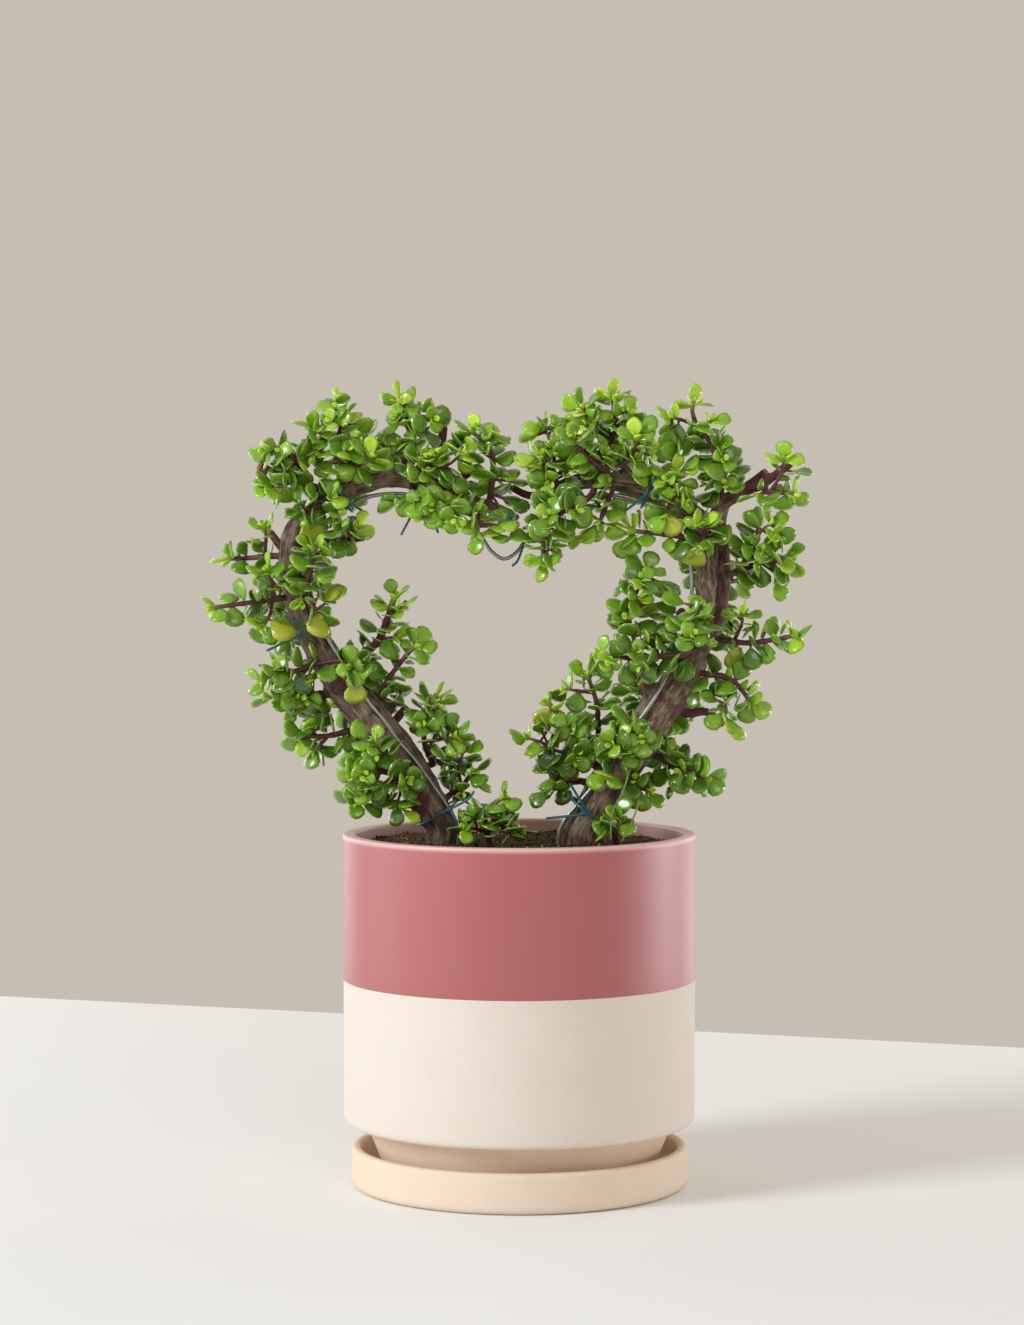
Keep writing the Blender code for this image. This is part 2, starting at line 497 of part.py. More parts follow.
def pot_profile():
    inner = POT_RADIUS - POT_WALL
    base = SAUCER_FLOOR + GAP
    floor = base + POT_FLOOR
    return [
        (POT_RADIUS - 2.2, POT_TOP), (POT_RADIUS - 0.6, POT_TOP - 0.8),
        (POT_RADIUS, POT_TOP - 2.6), (POT_RADIUS, GLAZE_LINE), (POT_RADIUS, POT_SHOULDER + 4),
        (POT_RADIUS - 0.8, POT_SHOULDER + 1.2), (POT_RADIUS - 3, POT_SHOULDER),
        (FOOT_RADIUS + 9.5, POT_SHOULDER), (FOOT_RADIUS + 6, POT_SHOULDER - 8),
        (FOOT_RADIUS + 2, base + 4.5), (FOOT_RADIUS, base), (DRAIN_RADIUS, base),
        (DRAIN_RADIUS, floor), (FOOT_RADIUS - 5, floor), (FOOT_RADIUS + 3, POT_SHOULDER),
        (inner - 2, POT_SHOULDER + 8), (inner, POT_SHOULDER + 14), (inner, POT_TOP - 3),
        (POT_RADIUS - 4.4, POT_TOP - 0.6), (POT_RADIUS - 2.2, POT_TOP),
    ]


def saucer_profile():
    inner = SAUCER_RADIUS - SAUCER_WALL
    return [
        (0, SAUCER_FLOOR), (inner - 4, SAUCER_FLOOR), (inner - 0.9, SAUCER_FLOOR + 3),
        (inner, SAUCER_HEIGHT - 3), (inner + 0.9, SAUCER_HEIGHT - 0.6),
        (SAUCER_RADIUS - 2.2, SAUCER_HEIGHT), (SAUCER_RADIUS - 0.7, SAUCER_HEIGHT - 0.9),
        (SAUCER_RADIUS, SAUCER_HEIGHT - 3), (SAUCER_RADIUS, 5), (SAUCER_RADIUS - 1.2, 1.6),
        (SAUCER_RADIUS - 3.8, 0), (0, 0),
    ]


def soil_profile():
    inner = POT_RADIUS - POT_WALL - GAP
    floor = SAUCER_FLOOR + POT_FLOOR + 2 * GAP
    return [
        (0, SOIL_TOP + 1), (inner * 0.6, SOIL_TOP + 0.6), (inner, SOIL_TOP - 1),
        (inner, POT_SHOULDER + 14.5), (inner - 2.1, POT_SHOULDER + 8.6),
        (FOOT_RADIUS + 2.5, POT_SHOULDER + 0.6), (FOOT_RADIUS - 5.4, floor), (0, floor),
    ]


# Tubes


def smooth_route(points, step):
    """Points about step mm apart on a Catmull-Rom curve; each point is a place and a radius."""
    rows = [(*place, radius) for place, radius in points]
    first = [2 * a - b for a, b in zip(rows[0], rows[1])]
    last = [2 * a - b for a, b in zip(rows[-1], rows[-2])]
    rows = [first, *rows, last]
    route = []
    for before, a, b, after in zip(rows, rows[1:], rows[2:], rows[3:]):
        length = math.dist(a[:3], b[:3]) / MM
        count = max(1, round(length / step))
        for i in range(count):
            t = i / count
            row = [
                0.5 * (2 * q + (r - p) * t + (2 * p - 5 * q + 4 * r - s) * t * t
                       + (3 * q - p - 3 * r + s) * t ** 3)
                for p, q, r, s in zip(before, a, b, after)
            ]
            route.append((Vector(row[:3]), row[3]))
    route.append((Vector(rows[-2][:3]), rows[-2][3]))
    return route


def tube(name, route, sides, collection, closed=False):
    """A mesh tube along (place, radius in mm) points, with its caps welded."""
    curve = bpy.data.curves.new(name, "CURVE")
    curve.dimensions = "3D"
    curve.bevel_depth = MM
    curve.bevel_resolution = (sides - 4) // 2
    curve.use_fill_caps = not closed
    spline = curve.splines.new("POLY")
    spline.points.add(len(route) - 1)
    spline.use_cyclic_u = closed
    for point, (place, radius) in zip(spline.points, route):
        point.co = (*place, 1)
        point.radius = radius
    guide = add_object(name, curve, collection)
    graph = bpy.context.evaluated_depsgraph_get()
    mesh = bpy.data.meshes.new_from_object(guide.evaluated_get(graph))
    bpy.data.objects.remove(guide)
    shape = bmesh.new()
    shape.from_mesh(mesh)
    bmesh.ops.remove_doubles(shape, verts=shape.verts, dist=1e-7)
    bmesh.ops.recalc_face_normals(shape, faces=shape.faces)
    shape.to_mesh(mesh)
    shape.free()
    mesh.name = name
    return add_object(name, mesh, collection)


def fuse(body, pieces, solver="MANIFOLD"):
    """Joins the pieces to the body with one Boolean union on a collection."""
    joined = make_collection("joined")
    for piece in pieces:
        for home in list(piece.users_collection):
            home.objects.unlink(piece)
        joined.objects.link(piece)
    union = body.modifiers.new("union", "BOOLEAN")
    union.operation = "UNION"
    union.operand_type = "COLLECTION"
    union.collection = joined
    union.solver = solver
    graph = bpy.context.evaluated_depsgraph_get()
    mesh = bpy.data.meshes.new_from_object(body.evaluated_get(graph))
    body.modifiers.remove(union)
    body.data = mesh
    for piece in pieces:
        bpy.data.objects.remove(piece)
    bpy.data.collections.remove(joined)


def finish(body, material):
    body.data.materials.clear()
    body.data.materials.append(material)
    body.data.shade_smooth()
    body.data.set_sharp_from_angle(angle=math.radians(40))
    body.data.name = body.name


# The frame of the plant: trunks, wire and ties


def foot_under(place):
    """Where a stem or a wire that enters the soil at a place ends, straight below it."""
    return Vector((place.x, place.y, (SOIL_LINE - BURIED) * MM))


def buried_end(u, v, depth, radius):
    """The foot of a stem under the soil and the place where it enters."""
    top = at(u, v, depth)
    top.z = SOIL_LINE * MM
    return [(foot_under(top), radius * FOOT_SHARE), (top, radius)]


def route_of(points, default_radius=None):
    return [(at(*p[:3]), p[3] if len(p) > 3 else default_radius) for p in points]


def skeleton_of(routes):
    """Closely spaced (place, radius) samples of every tube of a node."""
    return [sample for route in routes for sample in smooth_route(route, SAMPLE_STEP)]


def push_clear(place, radius, skeleton, direction):
    """Moves a place along a direction until it clears every sample of a skeleton."""
    moved = place.copy()
    while any((moved - s).length < (r + radius + GAP) * MM for s, r in skeleton):
        moved += direction * NUDGE / 2 * MM
    return moved


def wire_route(skeleton):
    """The wire lies against the front and inner side of the trunks, wherever they meet it."""
    front = Vector((0, -1, 0))
    room = WIRE_RADIUS + WIRE_PLAY
    points = smooth_route(route_of(WIRE, WIRE_RADIUS), WIRE_STEP)
    places = [push_clear(p, room, skeleton, front) for p, _ in points]
    for _ in range(WIRE_EASING):
        depths = [p.y for p in places]
        for i in range(1, len(places) - 1):
            places[i].y = min(depths[i], (depths[i - 1] + depths[i] + depths[i + 1]) / 3)
    places = [push_clear(p, room, skeleton, front) for p in places]
    feet = [foot_under(places[0]), foot_under(places[-1])]
    return [(p, WIRE_RADIUS) for p in [feet[0], *places, feet[1]]]


def nearest(place, samples):
    return min(samples, key=lambda s: (s[0] - place).length)


def ring_round(wire_place, along, trunk):
    """The middle and half axes of a twist round the wire, and round the trunk with it."""
    spare = TIE_RADIUS + GAP
    if trunk is None:
        across = along.orthogonal().normalized()
        tight = (WIRE_RADIUS + spare + WIRE_PLAY) * MM
        return wire_place, across * tight, along.cross(across) * tight
    trunk_place, trunk_radius = nearest(wire_place, trunk)
    across = wire_place - trunk_place
    across -= along * across.dot(along)
    distance = across.length / MM
    across.normalize()
    far = (distance + WIRE_RADIUS + trunk_radius) / 2 + spare
    shift = (distance + WIRE_RADIUS - trunk_radius) / 2
    wide = (trunk_radius + spare) / math.sqrt(1 - (shift / far) ** 2) + WIRE_PLAY
    middle = trunk_place + across * shift * MM
    return middle, across * far * TIE_SLACK * MM, along.cross(across) * wide * TIE_SLACK * MM


def tie_parts(tie, name, trunk, wire, collection):
    """A ring twisted round trunk and wire, with its loose ends."""
    _, spot, ends = tie
    flat = at(*spot)
    middle = min(range(1, len(wire) - 1), key=lambda i: (wire[i][0].xz - flat.xz).length)
    along = (wire[middle + 1][0] - wire[middle - 1][0]).normalized()
    centre, first, second = ring_round(wire[middle][0], along, trunk)
    ring = []
    for i in range(TIE_POINTS):
        turn = math.tau * i / TIE_POINTS
        ring.append((centre + first * math.cos(turn) + second * math.sin(turn), TIE_RADIUS))
    loop = tube(name, ring, 4, collection, closed=True)
    start = min((p for p, r in ring), key=lambda p: p.y)
    tails = []
    for end in ends:
        route = [(start, TIE_RADIUS)] + [(at(*p), TIE_RADIUS) for p in end]
        tails.append(tube("tail", smooth_route(route, STEM_STEP), 4, collection))
    return loop, tails


# Leaves


def leaf_template(sides):
    """A flattened sphere primitive: unit points and faces of the plain leaf."""
    shape = bmesh.new()
    bmesh.ops.create_uvsphere(shape, u_segments=sides, v_segments=2, radius=1)
    shape.transform(Matrix.Rotation(math.pi / 2, 4, "Z"))
    points = [v.co.copy() for v in shape.verts]
    faces = [[v.index for v in f.verts] for f in shape.faces]
    shape.free()
    return points, faces


@dataclass
class Leaf:
    """A blade: where it starts, the way it points, its face, its length in mm and its root."""

    start: Vector
    axis: Vector
    face: Vector
    length: float
    root: Vector

    @property
    def middle(self):
        return self.start + self.axis * self.length / 2 * MM

    def blade(self, templates, grown=0.0):
        """Points and faces: obovate and plump, widest beyond the middle, pulled to its root."""
        template, faces = templates[self.length < SMALL_LEAF * GRID_MM]
        side = self.face.cross(self.axis)
        half = self.length / 2 + grown
        wide = self.length * LEAF_WIDTH / 2 + grown
        thick = self.length * LEAF_THICK / 2 + grown
        points = [
            self.root if p.x < -0.99 else
            self.middle + (self.axis * p.x * half + side * p.y * wide * (1 + OBOVATE * p.x)
                      + self.face * p.z * thick) * MM
            for p in template
        ]
        return points, faces


class Neighbours:
    """Everything that is already placed, so that a new blade can keep clear of other nodes."""

    def __init__(self):
        self.solids = []

    def add(self, node, points, faces):
        middle = sum(points, Vector()) / len(points)
        reach = max((p - middle).length for p in points)
        self.solids.append((node, middle, reach, BVHTree.FromPolygons(points, faces)))

    def add_object(self, body):
        points = [body.matrix_world @ v.co for v in body.data.vertices]
        self.add(body.name, points, [list(p.vertices) for p in body.data.polygons])

    def hits(self, node, points, faces):
        """How many solids of other nodes, and of the same node, these faces cross."""
        middle = sum(points, Vector()) / len(points)
        reach = max((p - middle).length for p in points)
        tree = BVHTree.FromPolygons(points, faces)
        others = own = 0
        for name, centre, radius, solid in self.solids:
            if name == node + STEM:
                continue
            if (centre - middle).length < reach + radius and tree.overlap(solid):
                if name == node:
                    own += 1
                else:
                    others += 1
        return others, own


def leaf_from(spot, length, samples, side, draw):
    """A blade whose middle shows at a spot of the front view, rooted in the nearest stem."""
    def shown(sample):
        return (at(*spot, sample[0].y / MM) - sample[0]).length

    root, _ = min(samples, key=shown)
    start = root
    offset = at(*spot, root.y / MM) - root
    reach = LEAF_REACH * length * MM
    flat = offset.length
    if flat < reach:
        offset.y = side * math.sqrt(reach ** 2 - flat ** 2)
    else:
        start = root + offset * (1 - reach / flat)
        offset.y = side * LEAF_LEAN * reach
    axis = offset.normalized()
    across = draw.uniform(-FACE_TILT, FACE_TILT)
    face = Vector((across, side * FACE_OUT + draw.uniform(-FACE_SPREAD, FACE_SPREAD), FACE_UP))
    face -= axis * face.dot(axis)
    if face.length < 0.1:
        face = axis.orthogonal()
    return Leaf(start, axis, face.normalized(), length, root)


def leaves_of(spray, samples, templates, neighbours):
    """Places each leaf of a spray, turned or shortened until it clears the other nodes."""
    draw = random.Random(spray.name)
    front_share = BACK_FRONT_SHARE if spray.back else FRONT_SHARE
    placed = []
    for spot in spray.leaves:
        usual = (spot[2] if len(spot) > 2 else LEAF_UNITS) * GRID_MM
        large = usual > SMALL_LEAF * GRID_MM
        best, fewest = None, 2 if large else 1
        for attempt in range(LEAF_TRIES):
            side = -1 if draw.random() < front_share else 1
            size = usual * draw.uniform(*LEAF_SIZES) * (1 - LEAF_SHRINK * attempt)
            leaf = leaf_from(spot[:2], size, samples, side, draw)
            others, own = neighbours.hits(spray.name, *leaf.blade(templates, GAP))
            if not others and own < fewest:
                best, fewest = leaf, own
            if not others and own == 0:
                break
        crowded = best and not large and any(
            (best.middle - other.middle).length < CROWDING * MM for other in placed
        )
        if best and not crowded:
            neighbours.add(spray.name, *best.blade(templates))
            placed.append(best)
    return placed


def seat_of(spray, skeleton):
    """Where a spray leaves the wood: the heart of its spur, the spur's end and direction."""
    start = at(*spray.stems[0][0])
    heart, wood = nearest(start, skeleton)
    onwards = (at(*spray.stems[0][1]) - heart).normalized()
    reach = wood + SPUR
    while any(
        (heart + onwards * reach * MM - s).length < (r + spray.thick + GAP) * MM
        for s, r in skeleton
    ):
        reach += SPUR_STEP
    return heart, heart + onwards * reach * MM, onwards


def bend_clear(route, radius, fixed):
    """Bends a stem in depth, away from the tubes of other nodes that it would touch."""
    places = [p.copy() for p, r in route]
    need = radius + GAP + STEM_PLAY
    for _ in range(NUDGES):
        touched = False
        for i in range(1, len(places)):
            for other, other_radius in fixed:
                gap = places[i] - other
                if gap.length >= (need + other_radius) * MM:
                    continue
                shift = NUDGE * MM * (1 if gap.y > 0 else -1)
                for j in range(1, len(places)):
                    places[j].y += shift * max(0, 1 - abs(j - i) / BEND_SPREAD)
                touched = True
                break
        if not touched:
            break
    return [(p, r) for p, (_, r) in zip(places, route)]


def keep_off(route, radius, skeleton):
    """Moves a stem outwards wherever it would run through the trunk that it grows from."""
    kept = list(route[:2])
    for place, width in route[2:]:
        for _ in range(NUDGES):
            deep = min(skeleton, key=lambda s: (s[0] - place).length - s[1] * MM)
            need = (deep[1] + radius + GAP + STEM_PLAY) * MM
            if (place - deep[0]).length >= need:
                break
            place = place + (place - deep[0]).normalized() * NUDGE * MM
        kept.append((place, width))
    return kept


def stem_routes(spray, skeleton, fixed):
    """The routes of a spray's stems, tapering, each twig starting on an earlier stem."""
    routes = []
    for number, points in enumerate(spray.stems):
        base = spray.thick if number == 0 else TWIG_RADIUS
        last = len(points) - 1
        rows = [(at(*p), base * (1 - (1 - TIP_SHARE) * i / last)) for i, p in enumerate(points)]
        if number == 0 and spray.grows_from != SOIL:
            heart, seat, onwards = seat_of(spray, skeleton)
            clear = (seat - heart).length + FREE_OF_SEAT * MM
            rows = [row for row in rows[1:] if (row[0] - heart).length > clear]
            start = seat + onwards * GAP * MM
            rows = [(start, base), (start + onwards * STRAIGHT * MM, base)] + rows
        elif number == 0:
            rows = buried_end(*points[0], base) + rows[1:]
        else:
            seat = routes[0][0][0]
            samples = [s for s in skeleton_of(routes) if (s[0] - seat).length > FORK_MARGIN * MM]
            rows[0] = (nearest(rows[0][0], samples)[0], base)
        route = smooth_route(rows, STEM_STEP)
        if skeleton:
            route = keep_off(route, base, skeleton)
        routes.append(bend_clear(route, base, fixed))
    return routes


def build_trunk(name, main, branches, spurs, collection):
    u, v, depth, radius = main[0]
    rows = buried_end(u, v, depth, radius) + route_of(main[1:])
    body = tube(name, smooth_route(rows, TRUNK_STEP), 8, collection)
    pieces = [
        tube("branch", smooth_route(route_of(b), BRANCH_STEP), 6, collection) for b in branches
    ]
    pieces += [tube("spur", [(a, r), (b, r)], 4, collection) for a, b, r in spurs]
    fuse(body, pieces)
    return body


def rooting_samples(routes):
    """Places on the stems' middle lines where a leaf may be rooted, clear of both ends."""
    samples = []
    for route in routes:
        seat, tip = route[0][0], route[-1][0]
        for (a, radius), (b, _) in zip(route, route[1:]):
            count = max(1, math.ceil((b - a).length / MM / ROOT_STEP))
            spots = [a.lerp(b, i / count) for i in range(count + 1)]
            samples += [
                (p, radius) for p in spots
                if min((p - seat).length, (p - tip).length) > ROOT_MARGIN * MM
            ]
    return samples


def cut_holes(soil, stems, cutters):
    """Plain round holes in the soil for what stands in it."""
    depth = BURIED + HOLE_SPARE
    middle = SOIL_LINE - BURIED - GAP * 2 + depth / 2
    for number, (place, radius) in enumerate(stems):
        bpy.ops.mesh.primitive_cylinder_add(
            vertices=HOLE_SIDES, radius=(radius + GAP) / math.cos(math.pi / HOLE_SIDES) * MM,
            depth=depth * MM, location=(place.x, place.y, middle * MM),
        )
        cutter = bpy.context.object
        cutter.name = f"soil_hole_{number}"
        for home in list(cutter.users_collection):
            home.objects.unlink(cutter)
        cutters.objects.link(cutter)
        cutter.hide_render = True
        cutter.display_type = "WIRE"
        cut = soil.modifiers.new(cutter.name, "BOOLEAN")
        cut.operation = "DIFFERENCE"
        cut.object = cutter


def main():
    clear_scene()
    plant = make_collection("dwarf_jade_bonsai")
    cutters = make_collection("cutters")
    cutters.hide_render = True
    materials = {name: make_material(name) for name in COLOURS}

    turned("saucer", saucer_profile(), materials["clay"], plant)
    pot = turned("pot", pot_profile(), materials["glaze"], plant)
    soil = turned("soil", soil_profile(), materials["soil"], plant)

    trunk_rows = {LEFT: (TRUNK_LEFT, BRANCHES_LEFT), RIGHT: (TRUNK_RIGHT, BRANCHES_RIGHT)}
    skeletons = {}
    for name, (main_row, branches) in trunk_rows.items():
        skeletons[name] = skeleton_of([route_of(main_row)] + [route_of(b) for b in branches])
    wood = skeletons[LEFT] + skeletons[RIGHT]

    spurs = {LEFT: [], RIGHT: []}
    for spray in SPRAYS:
        if spray.grows_from != SOIL:
            heart, seat, _ = seat_of(spray, skeletons[spray.grows_from])
            spurs[spray.grows_from].append((heart, seat, spray.thick))
    trunks = [
        build_trunk(name, main_row, branches, spurs[name], plant)
        for name, (main_row, branches) in trunk_rows.items()
    ]

    wire_points = wire_route(wood)
    wire = tube("support_wire", wire_points, 6, plant)
    wire_samples = smooth_route(wire_points[1:-1], SAMPLE_STEP)
    ties = []
    for number, tie in enumerate(TIES, 1):
        ties.append(tie_parts(tie, f"tie_{number}", skeletons[tie[0]], wire_samples, plant))
    ties.append(tie_parts(KNOT, "tie_knot", None, wire_samples, plant))
    for loop, tails in ties:
        fuse(loop, tails)

    fixed_tubes = {
        LEFT: skeletons[RIGHT] + wire_samples,
        RIGHT: skeletons[LEFT] + wire_samples,
        SOIL: wood + wire_samples,
    }
    neighbours = Neighbours()
    for body in [*trunks, wire] + [loop for loop, _ in ties]:
        neighbours.add_object(body)
    graph = bpy.context.evaluated_depsgraph_get()
    for body in (pot, soil):
        mesh = body.evaluated_get(graph).to_mesh()
        neighbours.add(body.name, [v.co.copy() for v in mesh.vertices],
                       [list(p.vertices) for p in mesh.polygons])

    templates = {False: leaf_template(LEAF_SIDES), True: leaf_template(SMALL_LEAF_SIDES)}
    placed_tubes = []
    routes_of = {}
    for spray in SPRAYS:
        fixed = fixed_tubes[spray.grows_from] + placed_tubes
        routes = stem_routes(spray, skeletons.get(spray.grows_from), fixed)
        routes_of[spray.name] = routes
        placed_tubes += skeleton_of(routes)
        spray.parts = [tube(spray.name, route, 4, plant) for route in routes]
        for part in spray.parts:
            points = [v.co.copy() for v in part.data.vertices]
            neighbours.add(spray.name + STEM, points,
                           [list(p.vertices) for p in part.data.polygons])
    for spray in SPRAYS:
        samples = rooting_samples(routes_of[spray.name])
        for leaf in leaves_of(spray, samples, templates, neighbours):
            points, faces = leaf.blade(templates)
            mesh = bpy.data.meshes.new("leaf")
            mesh.from_pydata(points, [], faces)
            spray.parts.append(add_object("leaf", mesh, plant))
        fuse(spray.parts[0], spray.parts[1:])
        finish(spray.parts[0], materials["leaf"])

    standing = [(at(*row[0][:3]), row[0][3]) for row in (TRUNK_LEFT, TRUNK_RIGHT)]
    standing += [(wire_points[0][0], WIRE_RADIUS), (wire_points[-1][0], WIRE_RADIUS)]
    standing += [(at(*s.stems[0][0]), s.thick) for s in SPRAYS if s.grows_from == SOIL]
    cut_holes(soil, standing, cutters)

    for trunk in trunks:
        finish(trunk, materials["bark"])
    finish(wire, materials["wire"])
    for loop, _ in ties:
        finish(loop, materials["tie"])


main()
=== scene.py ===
"""Dwarf jade trained into a heart, in its glazed pot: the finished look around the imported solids.

The plant follows a front view drawn on a grid, as its solids do: (u, v) counts grid units to
the right and down, and a depth in millimetres goes behind the pot's axis. FrontView.at() turns
these into places in metres. Every leaf, stem, branch, wire and tie is grown by the rule that
its solid follows, and is then given its fine shape and finish.
"""

import json
import logging
import math
import random
from dataclasses import dataclass, field
from enum import IntEnum
from typing import Iterable, NamedTuple, Optional, Sequence

import bmesh
import bpy
from mathutils import Euler, Matrix, Quaternion, Vector, kdtree, noise
from mathutils.bvhtree import BVHTree

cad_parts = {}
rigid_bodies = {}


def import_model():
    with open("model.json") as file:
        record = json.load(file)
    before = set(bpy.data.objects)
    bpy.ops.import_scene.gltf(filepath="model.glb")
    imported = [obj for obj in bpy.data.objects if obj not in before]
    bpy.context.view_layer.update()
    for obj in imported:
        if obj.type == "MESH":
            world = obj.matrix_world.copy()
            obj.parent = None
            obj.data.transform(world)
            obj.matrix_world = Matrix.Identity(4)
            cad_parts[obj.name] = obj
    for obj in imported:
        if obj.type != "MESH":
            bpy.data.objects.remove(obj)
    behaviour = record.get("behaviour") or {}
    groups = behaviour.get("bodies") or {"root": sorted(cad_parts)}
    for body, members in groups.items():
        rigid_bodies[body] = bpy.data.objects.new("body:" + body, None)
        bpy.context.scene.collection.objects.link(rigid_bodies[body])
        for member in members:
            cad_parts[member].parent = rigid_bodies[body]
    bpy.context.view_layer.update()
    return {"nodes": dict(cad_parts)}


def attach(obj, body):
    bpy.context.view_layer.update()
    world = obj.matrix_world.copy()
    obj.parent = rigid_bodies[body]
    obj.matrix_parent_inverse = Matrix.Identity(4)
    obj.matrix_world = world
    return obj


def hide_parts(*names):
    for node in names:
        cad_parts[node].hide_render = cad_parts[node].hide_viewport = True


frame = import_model()
LOG = logging.getLogger("dwarf_jade")
BODY = "root"

MM = 0.001
GAP = 0.35  # mm between pieces that touch
THIN_SIDES = 6  # points round the thinnest stems
Rows = Sequence[Sequence[float]]
Route = list[tuple[Vector, float]]


# Trunks: (u, v, depth, radius in mm) from the soil upwards
TRUNK_LEFT = [
    (443, 846, 0, 8.0), (441, 825, 0, 7.5), (420, 790, 0, 8.6), (400, 757, 0, 9.0), (372, 722, 0, 8.8),
    (350, 694, 0, 8.3), (330, 665, 0, 7.6), (315, 640, 0, 6.9), (300, 610, 0, 6.1), (293, 580, 0, 5.7),
    (291, 556, 0, 5.5), (294, 535, 0, 5.3), (305, 517, 0, 5.1), (318, 505, 0, 5.0), (333, 497, 0, 4.8),
    (355, 487, 0, 4.6), (375, 480, 0, 4.5), (395, 478, 0, 4.4), (420, 482, 0, 4.2), (447, 494, 0, 3.8),
    (475, 503, 0, 3.2), (505, 512, 0, 2.4), (518, 520, 0, 1.9),
]
TRUNK_RIGHT = [
    (583, 846, 0, 10.2), (590, 822, 0, 9.4), (615, 775, 0, 9.3), (635, 748, 0, 9.2), (655, 715, 0, 9.0),
    (678, 685, 0, 8.2), (694, 655, 0, 7.4), (703, 630, 0, 6.7), (708, 600, 0, 6.0), (708, 583, 0, 5.7),
    (710, 560, 0, 5.6), (710, 540, 0, 5.5), (703, 525, 0, 5.2), (690, 513, 0, 4.9), (675, 503, 0, 4.7),
    (659, 495, 0, 4.6), (643, 488, 0, 4.5), (614, 482, 0, 4.4), (590, 479, 0, 4.2), (570, 485, 0, 3.8),
    (548, 496, 0, 3.0), (533, 507, 0, 2.2),
]
# Cut branches and stubs fused to each trunk, listed from the trunk outwards
BRANCHES_LEFT = [
    [(333, 497, 0, 3.0), (305, 486, -4, 2.8), (276, 475, -8, 2.4), (258, 465, -10, 2.1)],
    [(294, 545, 0, 2.2), (312, 543, 5, 2.1), (335, 541, 2, 2.0), (365, 538, -5, 1.7)],
    [(292, 560, 0, 2.2), (280, 545, 9, 2.0), (269, 531, 12, 1.8)],
    [(446, 493, 0, 2.6), (440, 462, 4, 2.3), (444, 425, 6, 2.0)],
    [(442, 491, 0, 2.2), (458, 480, 2, 2.0), (478, 468, 4, 1.8)],
    [(382, 735, 2, 2.4), (394, 722, 8, 2.1), (407, 706, 9, 1.9)],
    [(425, 800, 0, 2.4), (410, 804, -4, 2.2), (398, 806, -6, 2.0)],
    [(343, 684, 0, 2.8), (350, 677, -7, 2.4)],
]
BRANCHES_RIGHT = [
    [(707, 640, 3, 3.4), (718, 612, 4, 3.8), (721, 580, 4, 4.2), (720, 550, 3, 4.3),
     (717, 525, 2, 4.2), (723, 503, 2, 3.7), (737, 495, 0, 3.2), (753, 483, -2, 2.6),
     (768, 472, -3, 2.2)],
    [(741, 492, 0, 2.6), (764, 483, -5, 2.3), (793, 461, -7, 1.9)],
    [(665, 703, 0, 4.6), (655, 696, 2, 4.2), (643, 682, 2, 3.6)],
    [(700, 635, 0, 3.0), (690, 622, 3, 2.6), (678, 610, 4, 2.3)],
    [(556, 490, 0, 2.2), (530, 496, 4, 1.9), (511, 487, 5, 1.7)],
    [(664, 700, 0, 2.4), (685, 713, 3, 2.2), (707, 712, 6, 2.0), (724, 726, 7, 1.7)],
]
# One wire from soil to soil, bent to the heart
WIRE = [
    (458, 846, -6), (456, 822, -6), (437, 790, -2), (414, 758, -2), (400, 742, -2), (384, 719, -2),
    (369, 701, -2), (347, 668, -2), (329, 640, -2), (316, 610, -2), (310, 585, -2), (309, 560, -2),
    (314, 540, 0), (326, 522, 0), (343, 511, -1), (369, 497, -2), (402, 494, -2), (428, 502, -2),
    (455, 516, -2), (479, 534, -2), (491, 551, -2), (504, 559, -2), (517, 552, -2), (525, 540, -2),
    (535, 523, -2), (548, 511, -2), (575, 500, -2), (612, 495, -2), (645, 503, -2), (668, 518, -2),
    (684, 540, -2), (690, 560, -3), (692, 585, -4), (689, 612, -4), (678, 650, -5), (663, 684, -6),
    (650, 705, -6), (633, 729, -6), (616, 756, -6), (590, 790, -6), (563, 824, -8), (558, 846, -8),
]
# Ties: which trunk, where on the wire, and the loose ends of the twist
TIES = [
    ("trunk_left", (447, 806), [[(466, 801, -12), (474, 792, -14)]]),
    ("trunk_left", (345, 510), [[(361, 510, -11), (368, 515, -13)], [(330, 528, -10)]]),
    ("trunk_left", (322, 627), [[(284, 616, -13)], [(266, 651, -14)]]),
    ("trunk_left", (418, 499), [[(401, 535, -9)], [(438, 533, -10)]]),
    ("trunk_right", (640, 501), [[(625, 511, -10), (611, 517, -10)]]),
    ("trunk_right", (577, 807), [[(546, 819, -18)], [(570, 784, -17)]]),
]
# The knot under the notch holds the wire alone
KNOT = (None, (525, 541), [
    [(516, 530, -7), (509, 513, -7)], [(537, 530, -9)], [(518, 560, -8), (512, 566, -8)],
])


@dataclass(frozen=True)
class Spray:
    """One leafy stem: routes from its seat outwards, and where its leaves are.

    A leaf's third number is its length in grid units. Fillers are small leaves that only
    the finished plant has.
    """

    name: str
    grows_from: str
    stems: list
    leaves: list
    fillers: list = field(default_factory=list)
    thick: float = 1.5
    back: bool = False


